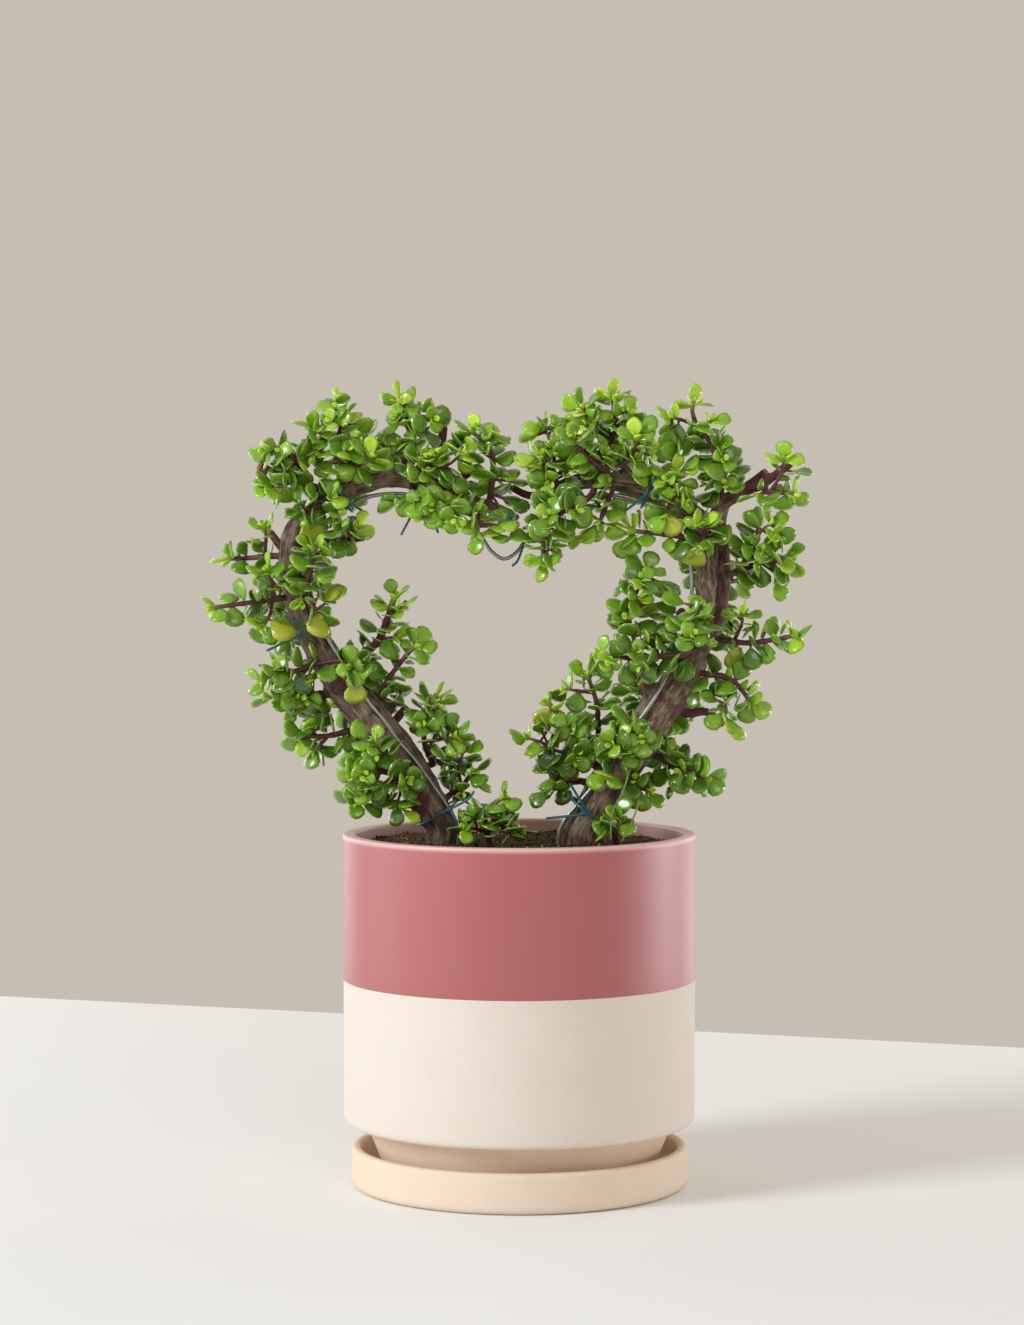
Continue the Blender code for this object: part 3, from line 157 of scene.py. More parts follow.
LEFT, RIGHT, SOIL = "trunk_left", "trunk_right", "soil"
SPRAYS = [
    Spray("spray_left_tip", LEFT, [[(308, 487, -4), (304, 470, -10), (290, 455, -14), (278, 448, -15),
      (264, 450, -16)], [(304, 470, -10), (306, 450, -8), (311, 426, -8)], [(304, 474, -9), (288, 484, -16),
      (272, 488, -17)]], [(260, 483, 26), (281, 477), (274, 493), (284, 464), (256, 454), (283, 439),
      (302, 423), (321, 428), (298, 448)], [(299, 474, 20), (265, 446, 22), (312, 417, 20)]),
    Spray("spray_left_upright", LEFT, [[(352, 487, 0), (348, 470, -8), (334, 448, -10), (341, 428, -9),
      (338, 399, -8)], [(348, 470, -8), (362, 462, -13), (372, 454, -14)]], [(325, 408), (328, 421),
      (355, 415), (350, 428), (340, 457), (323, 468), (364, 477, 26), (382, 452), (386, 465), (357, 446)],
      [(338, 394, 18), (344, 478, 20), (371, 444, 22)]),
    Spray("spray_left_bend", LEFT, [[(318, 505, 0), (322, 503, -12), (331, 496, -19)], [(320, 504, -10),
      (308, 514, -14), (306, 522, -15)]], [(326, 487), (341, 502), (309, 496), (295, 511), (311, 529, 28)],
      [(335, 488, 20)]),
    Spray("spray_left_arch_under", LEFT, [[(412, 482, 0), (413, 495, -9), (425, 505, -12),
      (447, 511, -14), (470, 514, -16), (477, 524, -17), (477, 536, -17)]], [(390, 501), (406, 507),
      (435, 499), (432, 515), (449, 521), (478, 506), (495, 516, 26), (466, 526), (461, 507), (475, 548, 24),
      (493, 533)], [(419, 516, 20)]),
    Spray("spray_left_arch_high", LEFT, [[(400, 478, 0), (407, 455, 3), (409, 430, 4), (405, 412, 3),
      (399, 400, 2)], [(409, 432, 4), (426, 421, 0), (430, 412, -1)]], [(387, 398), (409, 395), (393, 417),
      (429, 404), (416, 432), (393, 440), (417, 447)], [(397, 388, 20), (441, 412, 20), (424, 432, 22),
      (403, 404, 18)]),
    Spray("spray_left_arch_front", LEFT, [[(415, 482, 0), (416, 470, -9), (425, 458, -13)],
      [(417, 469, -9), (446, 466, -12), (463, 452, -13)]], [(425, 449), (414, 459), (401, 467), (413, 476),
      (454, 446), (446, 479, 26), (466, 466), (471, 446), (478, 455)], [(437, 456, 22), (431, 471, 22)]),
    Spray("spray_notch_left", LEFT, [[(489, 507, 0), (492, 482, -5), (493, 460, -5), (487, 445, -6),
      (472, 432, -6)]], [(506, 458), (504, 441), (487, 431), (461, 424), (460, 436), (478, 443), (510, 475),
      (480, 473), (478, 489), (502, 490)], [(475, 422, 22)]),
    Spray("spray_left_outer_high", LEFT, [[(292, 556, 0), (274, 556, 2), (250, 558, 6), (227, 559, 9)],
      [(274, 556, 2), (266, 538, -2), (264, 526, -3)]], [(272, 518), (255, 526), (256, 541), (232, 549),
      (243, 568)], [(282, 538, 22), (246, 549, 22), (218, 561, 22), (262, 566, 22)]),
    Spray("spray_left_outer", LEFT, [[(296, 597, 0), (283, 598, -5), (272, 600, -8), (239, 604, -13),
      (212, 608, -15)], [(272, 600, -8), (272, 584, -10), (267, 571, -11)], [(272, 600, -8), (270, 614, -12),
      (263, 628, -14)]], [(254, 567), (281, 569), (258, 580), (243, 588), (229, 597), (220, 615), (234, 618),
      (254, 611), (258, 635), (271, 637, 24), (285, 628, 32)], [(268, 559, 22), (255, 596, 22),
      (206, 602, 22), (286, 585, 22), (252, 623, 22)]),
    Spray("spray_left_middle_front", LEFT, [[(298, 600, 0), (305, 592, -11), (309, 575, -17),
      (314, 556, -21), (314, 547, -22)], [(305, 592, -11), (313, 606, -14), (318, 614, -15)]], [(303, 542),
      (320, 538), (326, 553), (301, 560), (326, 575), (329, 591, 28), (293, 577), (322, 627, 33)],
      [(314, 551, 18), (299, 603, 22)]),
    Spray("spray_left_inner_high", LEFT, [[(338, 541, 1), (346, 535, -9), (356, 527, -13)]],
      [(341, 524), (367, 532), (336, 549), (350, 548)], [(362, 519, 22)]),
    Spray("spray_left_shoulder", LEFT, [[(330, 665, 0), (318, 663, -9), (296, 671, -13),
      (273, 674, -15), (262, 682, -15)], [(318, 663, -9), (340, 661, -15), (355, 667, -18), (356, 682, -18)]],
      [(300, 658), (286, 662), (328, 672, 27), (302, 683), (284, 683, 27), (256, 689), (266, 668), (347, 650),
      (365, 656), (354, 695, 28)], [(252, 676, 22), (369, 670, 22), (312, 650, 22)]),
    Spray("spray_left_low_outer", LEFT, [[(352, 697, 0), (332, 695, 3), (308, 694, 4), (285, 695, 3),
      (266, 698, 2)]], [(258, 703), (280, 706), (295, 706), (306, 709, 26), (322, 702), (318, 716, 26)],
      [(272, 689, 20), (300, 685, 22), (290, 716, 22)]),
    Spray("spray_left_low", LEFT, [[(372, 727, 0), (350, 731, -2), (328, 736, -5), (300, 737, -7)],
      [(328, 736, -5), (314, 752, -7)]], [(287, 742), (290, 728), (310, 727), (327, 750), (332, 724),
      (311, 762)], [(303, 748, 22), (347, 745, 22), (318, 740, 22)]),
    Spray("spray_left_foot", LEFT, [[(409, 775, 0), (398, 774, -13), (374, 772, -16), (352, 777, -16)],
      [(398, 774, -13), (385, 757, -18), (372, 742, -21)], [(374, 772, -16), (362, 794, -18),
      (354, 802, -18)], [(398, 774, -13), (400, 790, -14), (396, 806, -15)]], [(358, 728), (378, 729),
      (360, 744), (387, 743), (346, 758), (361, 763), (341, 776), (371, 786), (387, 786), (416, 781),
      (384, 800), (351, 791), (340, 797), (356, 812), (368, 808), (408, 803), (396, 819)], [(372, 752, 20),
      (403, 766, 22), (412, 818, 22)]),
    Spray("spray_left_inner", LEFT, [[(378, 728, 0), (389, 712, -1), (381, 695, -1), (389, 678, -2),
      (405, 657, -3), (416, 645, -4)]], [(424, 635), (412, 631), (431, 646), (423, 658), (395, 657),
      (377, 670), (371, 683), (401, 689), (397, 702)], [(408, 674, 22), (374, 705, 22), (392, 648, 22)]),
    Spray("spray_left_inner_stub", LEFT, [[(335, 672, 0), (352, 662, 3), (370, 649, 2), (379, 639, 0),
      (388, 617, -4), (394, 598, -6)], [(388, 617, -4), (402, 607, -5)], [(379, 639, 0), (396, 637, -3)]],
      [(391, 583), (379, 589), (404, 590), (377, 604), (412, 600), (415, 612), (389, 629), (406, 630),
      (407, 643), (390, 649), (368, 626), (364, 638), (368, 660)], [(398, 616, 20)], thick=2.2),
    Spray("spray_left_inner_low", LEFT, [[(413, 772, 0), (428, 766, 5), (424, 742, 1), (427, 714, -3),
      (432, 701, -4)], [(424, 742, 1), (440, 740, -4), (455, 737, -6)]], [(420, 697), (428, 686), (450, 700),
      (451, 717), (436, 719), (415, 713), (447, 727), (463, 725), (468, 738), (455, 749), (440, 754),
      (409, 732), (411, 748)], [(440, 689, 22), (447, 678, 22), (434, 729, 22)]),
    Spray("spray_left_base", LEFT, [[(434, 810, 0), (448, 797, 5), (461, 788, 2), (471, 774, -2)],
      [(461, 788, 2), (459, 767, 0), (465, 748, -1)]], [(476, 747), (486, 765), (449, 760), (480, 778),
      (460, 797)], [(474, 761, 22), (444, 781, 22), (484, 789, 22)]),
    Spray("spray_soil_left", SOIL, [[(490, 846, -14), (485, 824, -16), (485, 811, -17),
      (503, 798, -18)], [(487, 834, -15), (466, 828, -20)], [(487, 834, -15), (508, 828, -20),
      (520, 832, -21)]], [(463, 818), (454, 829), (478, 804), (497, 808), (515, 804), (499, 824), (512, 821),
      (531, 833)], [(477, 820, 22), (467, 838, 22), (505, 789, 20), (492, 838, 22)]),
    Spray("spray_notch_right", RIGHT, [[(590, 479, 0), (594, 491, -12), (582, 503, -19),
      (566, 510, -22), (552, 521, -20), (545, 536, -17), (543, 552, -16), (544, 563, -16)]], [(546, 502),
      (568, 497, 26), (548, 526), (582, 519, 26), (566, 526), (575, 484), (533, 548, 26), (531, 562),
      (553, 560), (552, 544), (540, 575)], [(596, 507, 22), (560, 537, 22)]),
    Spray("spray_right_arch_tip", RIGHT, [[(560, 489, 0), (553, 477, -7), (546, 465, -12),
      (541, 455, -14)], [(553, 477, -7), (554, 455, -2), (548, 436, 1), (543, 425, 1)], [(553, 477, -7),
      (570, 467, -12)]], [(533, 449), (522, 460), (558, 464, 26), (572, 457), (583, 469), (545, 487),
      (530, 430), (545, 416), (559, 424)], [(548, 448, 22), (534, 467, 22), (527, 440, 22), (561, 439, 22)]),
    Spray("spray_right_arch_under", RIGHT, [[(616, 482, 0), (609, 497, -9), (604, 511, -12),
      (599, 524, -12)]], [(605, 506, 26), (615, 501), (590, 516), (597, 534)], [(611, 526, 22)]),
    Spray("spray_right_arch_high", RIGHT, [[(618, 483, 0), (614, 462, 5), (612, 440, 4), (618, 428, 3),
      (615, 416, 2), (612, 397, 1)], [(612, 440, 4), (592, 427, 1), (583, 409, 0)]], [(579, 392), (568, 402),
      (593, 400), (600, 394), (624, 394), (602, 413), (629, 408), (618, 429), (636, 418)], [(580, 415, 20),
      (612, 386, 20), (600, 441, 22), (627, 446, 22), (572, 421, 22)]),
    Spray("spray_right_arch_front", RIGHT, [[(606, 481, 0), (608, 471, -8), (597, 465, -11),
      (585, 454, -14), (575, 445, -16), (571, 438, -18)], [(608, 471, -8), (622, 465, -11), (634, 450, -14),
      (635, 437, -16)]], [(561, 435), (585, 436), (561, 449), (592, 446), (588, 470), (604, 456), (623, 434),
      (647, 434), (648, 450), (620, 455), (643, 466)], [(573, 428, 22), (577, 457, 22), (635, 426, 22),
      (604, 479, 22), (640, 481, 22)]),
    Spray("spray_right_top", RIGHT, [[(722, 506, 2), (721, 486, -4), (720, 468, -6), (714, 452, -6),
      (707, 438, -5), (697, 427, -4), (692, 411, -4), (694, 402, -4)], [(704, 434, -5), (711, 420, -9)],
      [(697, 427, -4), (681, 420, -7), (670, 418, -8)]], [(681, 405), (704, 404), (662, 413), (667, 428),
      (711, 410), (722, 421), (717, 434), (723, 444), (732, 453), (702, 446), (704, 462), (739, 469, 27),
      (735, 486, 26)], [(695, 393, 20), (688, 424, 22), (676, 410, 20), (706, 478, 22)]),
    Spray("spray_right_arch_outer", RIGHT, [[(669, 500, 0), (672, 490, -9), (676, 474, -10)],
      [(672, 494, -7), (668, 507, -13), (667, 517, -16)]], [(656, 470), (692, 468), (655, 504, 24),
      (683, 505, 25), (672, 528, 28), (655, 523)], [(676, 462, 22), (690, 486, 22)]),
    Spray("spray_right_fork", RIGHT, [[(764, 483, -5), (766, 492, -13), (780, 492, -15),
      (793, 495, -15)], [(772, 492, -14), (781, 474, -16), (784, 458, -16)]], [(784, 446), (771, 458),
      (797, 462), (803, 474), (772, 498, 26), (801, 500)], [(796, 483, 22), (760, 495, 22)]),
    Spray("spray_right_bend", RIGHT, [[(709, 538, 0), (706, 536, -13), (701, 524, -18)],
      [(706, 536, -13), (700, 548, -17)]], [(699, 514), (714, 537), (694, 558, 32)], [(690, 526, 22),
      (712, 520, 22)]),
    Spray("spray_right_inner_high", RIGHT, [[(709, 548, 0), (697, 545, -9), (686, 538, -10),
      (660, 534, -10), (632, 531, -10)]], [(618, 524, 24), (633, 518), (629, 547, 27), (646, 540),
      (678, 550, 26)], [(660, 524, 22), (669, 545, 22), (647, 526, 22)]),
    Spray("spray_right_outer_high", RIGHT, [[(721, 578, 4), (736, 572, 2), (757, 564, -3),
      (774, 560, -6), (789, 556, -7)], [(736, 572, 2), (750, 548, -5), (762, 530, -7), (772, 523, -8)]],
      [(746, 580), (737, 560, 30), (752, 534), (769, 547), (751, 520), (735, 540), (787, 536), (781, 518),
      (797, 549), (798, 571), (779, 578, 26), (762, 578)], [(765, 512, 22), (771, 536, 22), (786, 567, 22)]),
    Spray("spray_right_outer", RIGHT, [[(706, 640, 0), (722, 640, -4), (748, 643, -8), (778, 639, -11),
      (797, 635, -13)], [(735, 642, -7), (742, 624, -10), (742, 613, -11)]], [(804, 629), (789, 625),
      (774, 627), (782, 647), (796, 646), (763, 632), (744, 603), (753, 615), (729, 614), (735, 659, 28),
      (766, 654), (752, 660)], [(730, 630, 22), (755, 630, 22)]),
    Spray("spray_right_outer_low", RIGHT, [[(688, 668, 0), (706, 674, -6), (722, 676, -8),
      (737, 684, -9), (752, 704, -10)], [(737, 684, -9), (728, 700, -12), (722, 716, -13)]], [(713, 663),
      (724, 687, 26), (700, 684), (742, 670), (755, 689), (763, 711), (748, 717), (741, 706), (719, 701),
      (713, 722), (733, 728)], [(732, 692, 22), (694, 700, 22)]),
    Spray("spray_right_inner", RIGHT, [[(694, 658, 0), (688, 656, -11), (672, 656, -12),
      (650, 657, -11), (629, 658, -10), (598, 654, -9)], [(640, 657, -11), (631, 630, -9), (632, 606, -8),
      (640, 585, -8), (647, 568, -8)], [(688, 656, -11), (694, 640, -15), (702, 620, -16), (702, 606, -17)],
      [(686, 656, -11), (698, 650, -14), (710, 643, -15)]], [(633, 560, 26), (652, 556), (658, 573),
      (644, 583), (629, 590), (616, 605), (616, 621), (647, 605, 29), (647, 625), (615, 643), (637, 645),
      (650, 636, 24), (650, 671, 27), (628, 678, 26), (685, 671), (698, 596, 29), (711, 624), (687, 638, 24)],
      [(605, 665, 22), (603, 643, 20), (660, 592, 22)]),
    Spray("spray_right_low_inner", RIGHT, [[(622, 765, 0), (602, 752, 5), (598, 722, 0), (597, 704, -2),
      (588, 676, -4)], [(594, 692, -3), (578, 691, -5), (565, 689, -6)]], [(575, 669), (604, 667),
      (605, 685, 26), (558, 696), (576, 703), (612, 704), (585, 716), (610, 722), (582, 729)],
      [(590, 662, 22), (572, 680, 22), (588, 742, 22), (580, 694, 20)]),
    Spray("spray_right_low_stub", RIGHT, [[(612, 778, 0), (594, 764, -4), (584, 750, -6),
      (571, 728, -7), (547, 702, -8)], [(584, 750, -6), (560, 752, -9), (540, 742, -11), (525, 738, -12)]],
      [(541, 719, 28), (517, 737), (530, 728), (532, 750), (547, 761), (551, 738), (566, 763), (588, 726)],
      [(560, 706, 22), (567, 742, 22), (572, 776, 22), (596, 755, 22)], thick=2.0),
    Spray("spray_right_low_front", RIGHT, [[(632, 752, 0), (629, 749, -13), (619, 743, -17),
      (613, 735, -18)], [(629, 749, -13), (640, 740, -16), (638, 725, -18)], [(629, 749, -13),
      (614, 764, -17), (606, 774, -18)]], [(636, 714, 27), (615, 726), (603, 742), (621, 752), (633, 761),
      (652, 741), (603, 771, 28), (615, 782), (595, 782)], [(641, 746, 22), (625, 731, 22), (604, 758, 22)]),
    Spray("spray_right_foot", RIGHT, [[(606, 786, 0), (584, 782, 3), (570, 783, -2), (556, 781, -6),
      (548, 770, -8)]], [(545, 784), (538, 800, 24), (562, 796), (558, 771), (541, 765)], [(574, 779, 22),
      (579, 806, 22)]),
    Spray("spray_right_low_outer", RIGHT, [[(634, 750, 0), (658, 757, -4), (675, 768, -8),
      (694, 774, -10), (708, 780, -11)]], [(682, 752), (664, 745), (650, 742), (695, 763), (706, 766, 24),
      (720, 775), (680, 782, 27), (698, 787), (717, 787), (662, 778), (645, 768)], [(672, 792, 22)]),
    Spray("spray_right_heel", RIGHT, [[(608, 790, 0), (624, 788, -4), (636, 788, -6), (650, 791, -8)]],
      [(644, 806, 24), (659, 801, 24), (635, 799), (640, 779)], [(656, 784, 22)]),
    Spray("spray_soil_right", SOIL, [[(617, 847, -14), (616, 832, -17), (621, 820, -19)]],
      [(602, 827, 25), (628, 831, 24), (621, 810), (637, 823)], [(611, 815, 22)]),
    Spray("spray_back_left", LEFT, [[(300, 610, 0), (296, 606, 14), (284, 590, 24), (270, 584, 32)],
      [(306, 580, 27), (312, 560, 33)], [(300, 626, 25), (290, 640, 32)]], [(258, 582), (270, 570),
      (280, 598), (262, 596), (300, 573), (322, 566), (308, 545), (300, 553), (318, 583), (284, 576),
      (284, 650), (300, 642), (306, 622), (278, 634), (290, 618)], back=True),
    Spray("spray_back_left_low", LEFT, [[(372, 722, 0), (366, 720, 16), (348, 708, 26), (332, 706, 34)],
      [(360, 716, 19), (378, 698, 28), (392, 688, 33)], [(360, 716, 19), (366, 744, 26), (356, 762, 32)]],
      [(320, 704), (334, 692), (348, 694), (340, 720), (374, 684), (392, 676), (404, 690), (386, 706),
      (364, 700), (346, 764), (358, 776), (374, 756), (354, 744), (378, 734)], back=True),
    Spray("spray_back_arch_left", LEFT, [[(375, 480, 0), (372, 472, 10), (356, 446, 32)],
      [(371, 468, 13), (410, 446, 30)], [(371, 468, 13), (336, 498, 30)]], [(344, 444), (356, 434),
      (372, 448), (352, 460), (386, 440), (398, 458), (420, 440), (410, 458), (378, 462), (326, 496),
      (338, 510), (348, 480), (360, 498), (330, 482)], back=True),
    Spray("spray_back_arch_right", RIGHT, [[(614, 482, 0), (616, 474, 10), (640, 450, 32)],
      [(617, 470, 13), (582, 452, 30)], [(617, 470, 13), (656, 492, 30)]], [(652, 446), (640, 436),
      (626, 448), (644, 462), (608, 446), (594, 466), (572, 448), (584, 438), (616, 458), (668, 490),
      (656, 504), (644, 476), (630, 494), (662, 478)], back=True),
    Spray("spray_back_right", RIGHT, [[(708, 600, 0), (711, 596, 14), (724, 584, 24), (740, 580, 32)],
      [(702, 570, 27), (696, 552, 33)], [(712, 618, 25), (722, 634, 32)]], [(752, 578), (740, 566),
      (730, 594), (746, 592), (708, 562), (686, 566), (698, 540), (708, 548), (690, 580), (726, 572),
      (730, 644), (714, 640), (702, 618), (734, 628), (722, 612)], back=True),
    Spray("spray_back_right_low", RIGHT, [[(650, 722, 0), (655, 720, 16), (672, 712, 26),
      (688, 710, 34)], [(660, 717, 19), (644, 700, 28), (632, 690, 33)], [(660, 717, 19), (656, 744, 26),
      (666, 762, 32)]], [(700, 708), (686, 696), (672, 698), (682, 724), (648, 686), (630, 678), (618, 692),
      (636, 708), (658, 702), (676, 764), (662, 776), (646, 756), (668, 744), (644, 734)], back=True),
]
# Further leaves where the front view is full of them: u, v and size in grid units
GAPS_TO_FILL = (
    (680, 450, 25), (668, 441, 24), (690, 462, 24), (661, 455, 23), (700, 495, 25), (688, 502, 23),
    (672, 600, 26), (660, 616, 25), (674, 634, 24), (655, 590, 25), (668, 586, 24), (650, 640, 24),
    (520, 505, 24), (506, 516, 24), (534, 522, 24), (501, 538, 22), (541, 500, 25), (528, 540, 22),
    (320, 442, 24), (311, 451, 22), (372, 812, 24), (363, 800, 23), (379, 798, 23), (565, 535, 24),
    (559, 545, 22), (615, 535, 24), (622, 549, 23), (264, 478, 24), (261, 492, 22), (665, 665, 24),
    (651, 660, 23), (612, 660, 23), (386, 508, 22), (372, 428, 23), (676, 436, 24), (684, 446, 25),
    (670, 450, 24), (686, 472, 23), (710, 500, 24), (666, 608, 25), (678, 620, 25), (672, 588, 24),
    (510, 525, 24), (519, 536, 23), (499, 527, 23), (615, 515, 24), (624, 520, 23), (520, 482, 23),
    (286, 495, 24), (730, 698, 24), (722, 688, 23), (600, 500, 24), (578, 460, 24), (648, 424, 24),
    (470, 458, 23), (433, 440, 22), (461, 485, 22), (327, 685, 22), (364, 424, 23), (327, 452, 24),
    (512, 500, 23), (595, 505, 24), (575, 541, 22), (587, 535, 22), (745, 499, 22), (785, 502, 23),
    (780, 592, 23), (660, 627, 24), (675, 623, 24), (607, 708, 23), (620, 712, 23), (708, 697, 23),
    (738, 732, 23), (424, 690, 23), (445, 692, 22), (331, 620, 22), (339, 594, 22), (625, 806, 22),
)
# Gaps in the foliage where no further leaf may come: u, v and radius in grid units
GAPS_TO_KEEP = (
    (283, 435, 12), (255, 453, 8), (325, 398, 10), (392, 390, 12), (700, 400, 26), (788, 450, 10),
    (800, 458, 8), (803, 500, 8), (655, 545, 20), (740, 590, 18), (801, 571, 8), (600, 640, 10),
    (565, 700, 20), (524, 740, 14), (480, 790, 16), (512, 795, 10), (645, 802, 14), (718, 778, 10),
    (764, 710, 10), (222, 612, 22), (252, 524, 8), (242, 567, 10), (262, 635, 12), (256, 670, 10),
    (297, 654, 10), (337, 712, 14), (428, 632, 14), (342, 643, 8), (340, 782, 12), (507, 463, 12),
    (530, 435, 10), (396, 435, 6), (540, 577, 8), (490, 760, 8), (527, 547, 10), (505, 555, 12),
    (714, 585, 14), (716, 558, 10),
)


@dataclass(frozen=True)
class FrontView:
    """The grid that the plant's places are given on, seen from one eye in front of it."""

    grid_mm: float = 0.4525
    axis_u: float = 519.3
    ground_v: float = 1186.8
    eye_distance: float = 1513.0
    eye_height: float = 294.0

    def at(self, u: float, v: float, depth: float = 0.0) -> Vector:
        """The place of a point of the front view, in metres.

        Args:
            u: Grid units to the right.
            v: Grid units down.
            depth: Millimetres behind the pot's axis.

        Returns:
            The place in the frame.
        """
        scale = self.grid_mm * (1 + depth / self.eye_distance)
        eye_v = self.ground_v - self.eye_height / self.grid_mm
        height = self.eye_height + (eye_v - v) * scale
        return Vector(((u - self.axis_u) * scale, depth, height)) * MM

    def spot(self, place: Vector) -> Vector:
        """Where a place shows in the front view, as (u, v)."""
        x, depth, height = place / MM
        scale = self.grid_mm * (1 + depth / self.eye_distance)
        eye_v = self.ground_v - self.eye_height / self.grid_mm
        return Vector((self.axis_u + x / scale, eye_v + (self.eye_height - height) / scale))

    def route(self, points: Rows, radius: float = 0.0) -> Route:
        """Places and radii of a row of the tables; the radius is the row's own where it has one."""
        return [(self.at(*p[:3]), p[3] if len(p) > 3 else radius) for p in points]


VIEW = FrontView()


@dataclass(frozen=True)
class Sizes:
    """Driving sizes of the plant in millimetres, the same as those of its solids."""

    soil_line: float = 155.6
    buried: float = 24.0
    foot_share: float = 0.8
    wire_radius: float = 0.9
    wire_play: float = 0.25
    wire_step: float = 12.0
    wire_easing: int = 3
    tie_radius: float = 0.75
    tie_slack: float = 1.06
    sample_step: float = 2.0
    nudge: float = 0.4
    nudges: int = 80
    bend_spread: int = 3
    stem_step: float = 11.0
    stem_sides: int = 4
    stem_play: float = 0.25
    spur: float = 2.2
    spur_step: float = 0.3
    straight: float = 1.2
    free_of_seat: float = 3.0
    fork_margin: float = 3.0
    root_margin: float = 1.0
    root_step: float = 1.2
    twig_radius: float = 0.9
    tip_share: float = 0.62


@dataclass(frozen=True)
class LeafRule:
    """How a leaf is turned and sized at its place, the same as on the solids."""

    units: float = 25.0
    sides: int = 7
    small_sides: int = 5
    small: float = 27.9
    width: float = 0.80
    thick: float = 0.19
    obovate: float = 0.38
    reach: float = 0.56
    tries: int = 24
    shrink: float = 0.018
    sizes: tuple[float, float] = (0.92, 1.04)
    lean: float = 0.35
    tilt: float = 0.5
    out: float = 0.6
    spread: float = 0.4
    up: float = 0.75
    front_share: float = 0.72
    back_front_share: float = 0.25
    crowding: float = 5.6
    young: float = 23.0
    ages: tuple[float, float, float] = (0.25, 0.55, 1.0)


SIZE = Sizes()
RULE = LeafRule()


def smooth_route(points: Route, step: float) -> Route:
    """Points about a step apart on a Catmull-Rom curve.

    Args:
        points: Places in metres with radii in millimetres.
        step: Distance between the new points, in millimetres.

    Returns:
        The finer route, with the radii eased in the same way.
    """
    rows = [(*place, radius) for place, radius in points]
    first = [2 * a - b for a, b in zip(rows[0], rows[1])]
    last = [2 * a - b for a, b in zip(rows[-1], rows[-2])]
    rows = [first, *rows, last]
    route: Route = []
    for before, a, b, after in zip(rows, rows[1:], rows[2:], rows[3:]):
        count = max(1, round(math.dist(a[:3], b[:3]) / MM / step))
        for i in range(count):
            t = i / count
            row = [
                0.5 * (2 * q + (r - p) * t + (2 * p - 5 * q + 4 * r - s) * t * t
                       + (3 * q - p - 3 * r + s) * t ** 3)
                for p, q, r, s in zip(before, a, b, after)
            ]
            route.append((Vector(row[:3]), row[3]))
    route.append((Vector(rows[-2][:3]), rows[-2][3]))
    return route


def skeleton_of(routes: Iterable[Route]) -> Route:
    """Closely spaced places and radii along every tube of a node."""
    return [sample for route in routes for sample in smooth_route(route, SIZE.sample_step)]


def nearest(place: Vector, samples: Route) -> tuple[Vector, float]:
    """The sample whose place lies nearest."""
    return min(samples, key=lambda s: (s[0] - place).length)


def foot_under(place: Vector) -> Vector:
    """Where a stem or a wire that enters the soil at a place ends, straight below it."""
    return Vector((place.x, place.y, (SIZE.soil_line - SIZE.buried) * MM))


def buried_end(row: Sequence[float], radius: float) -> Route:
    """The foot of a stem under the soil and the place where it enters."""
    top = VIEW.at(*row[:3])
    top.z = SIZE.soil_line * MM
    return [(foot_under(top), radius * SIZE.foot_share), (top, radius)]


def trunk_route(points: Rows) -> Route:
    """The middle line of a trunk from its foot in the soil to its tip."""
    return buried_end(points[0], points[0][3]) + VIEW.route(points[1:])


def wire_route(wood: Route) -> Route:
    """The wire lies against the front and inner side of the trunks, wherever they meet it.

    Args:
        wood: Samples of both trunks.

    Returns:
        The wire's middle line, from one foot in the soil to the other.
    """
    room = SIZE.wire_radius + SIZE.wire_play

    def pushed(place: Vector) -> Vector:
        """The place, moved to the front until it clears the wood."""
        moved = place.copy()
        while any((moved - s).length < (r + room + GAP) * MM for s, r in wood):
            moved.y -= SIZE.nudge / 2 * MM
        return moved

    route = VIEW.route(WIRE, SIZE.wire_radius)
    places = [pushed(p) for p, _ in smooth_route(route, SIZE.wire_step)]
    for _ in range(SIZE.wire_easing):
        depths = [p.y for p in places]
        for i in range(1, len(places) - 1):
            places[i].y = min(depths[i], sum(depths[i - 1:i + 2]) / 3)
    places = [pushed(p) for p in places]
    places = [foot_under(places[0]), *places, foot_under(places[-1])]
    return [(p, SIZE.wire_radius) for p in places]


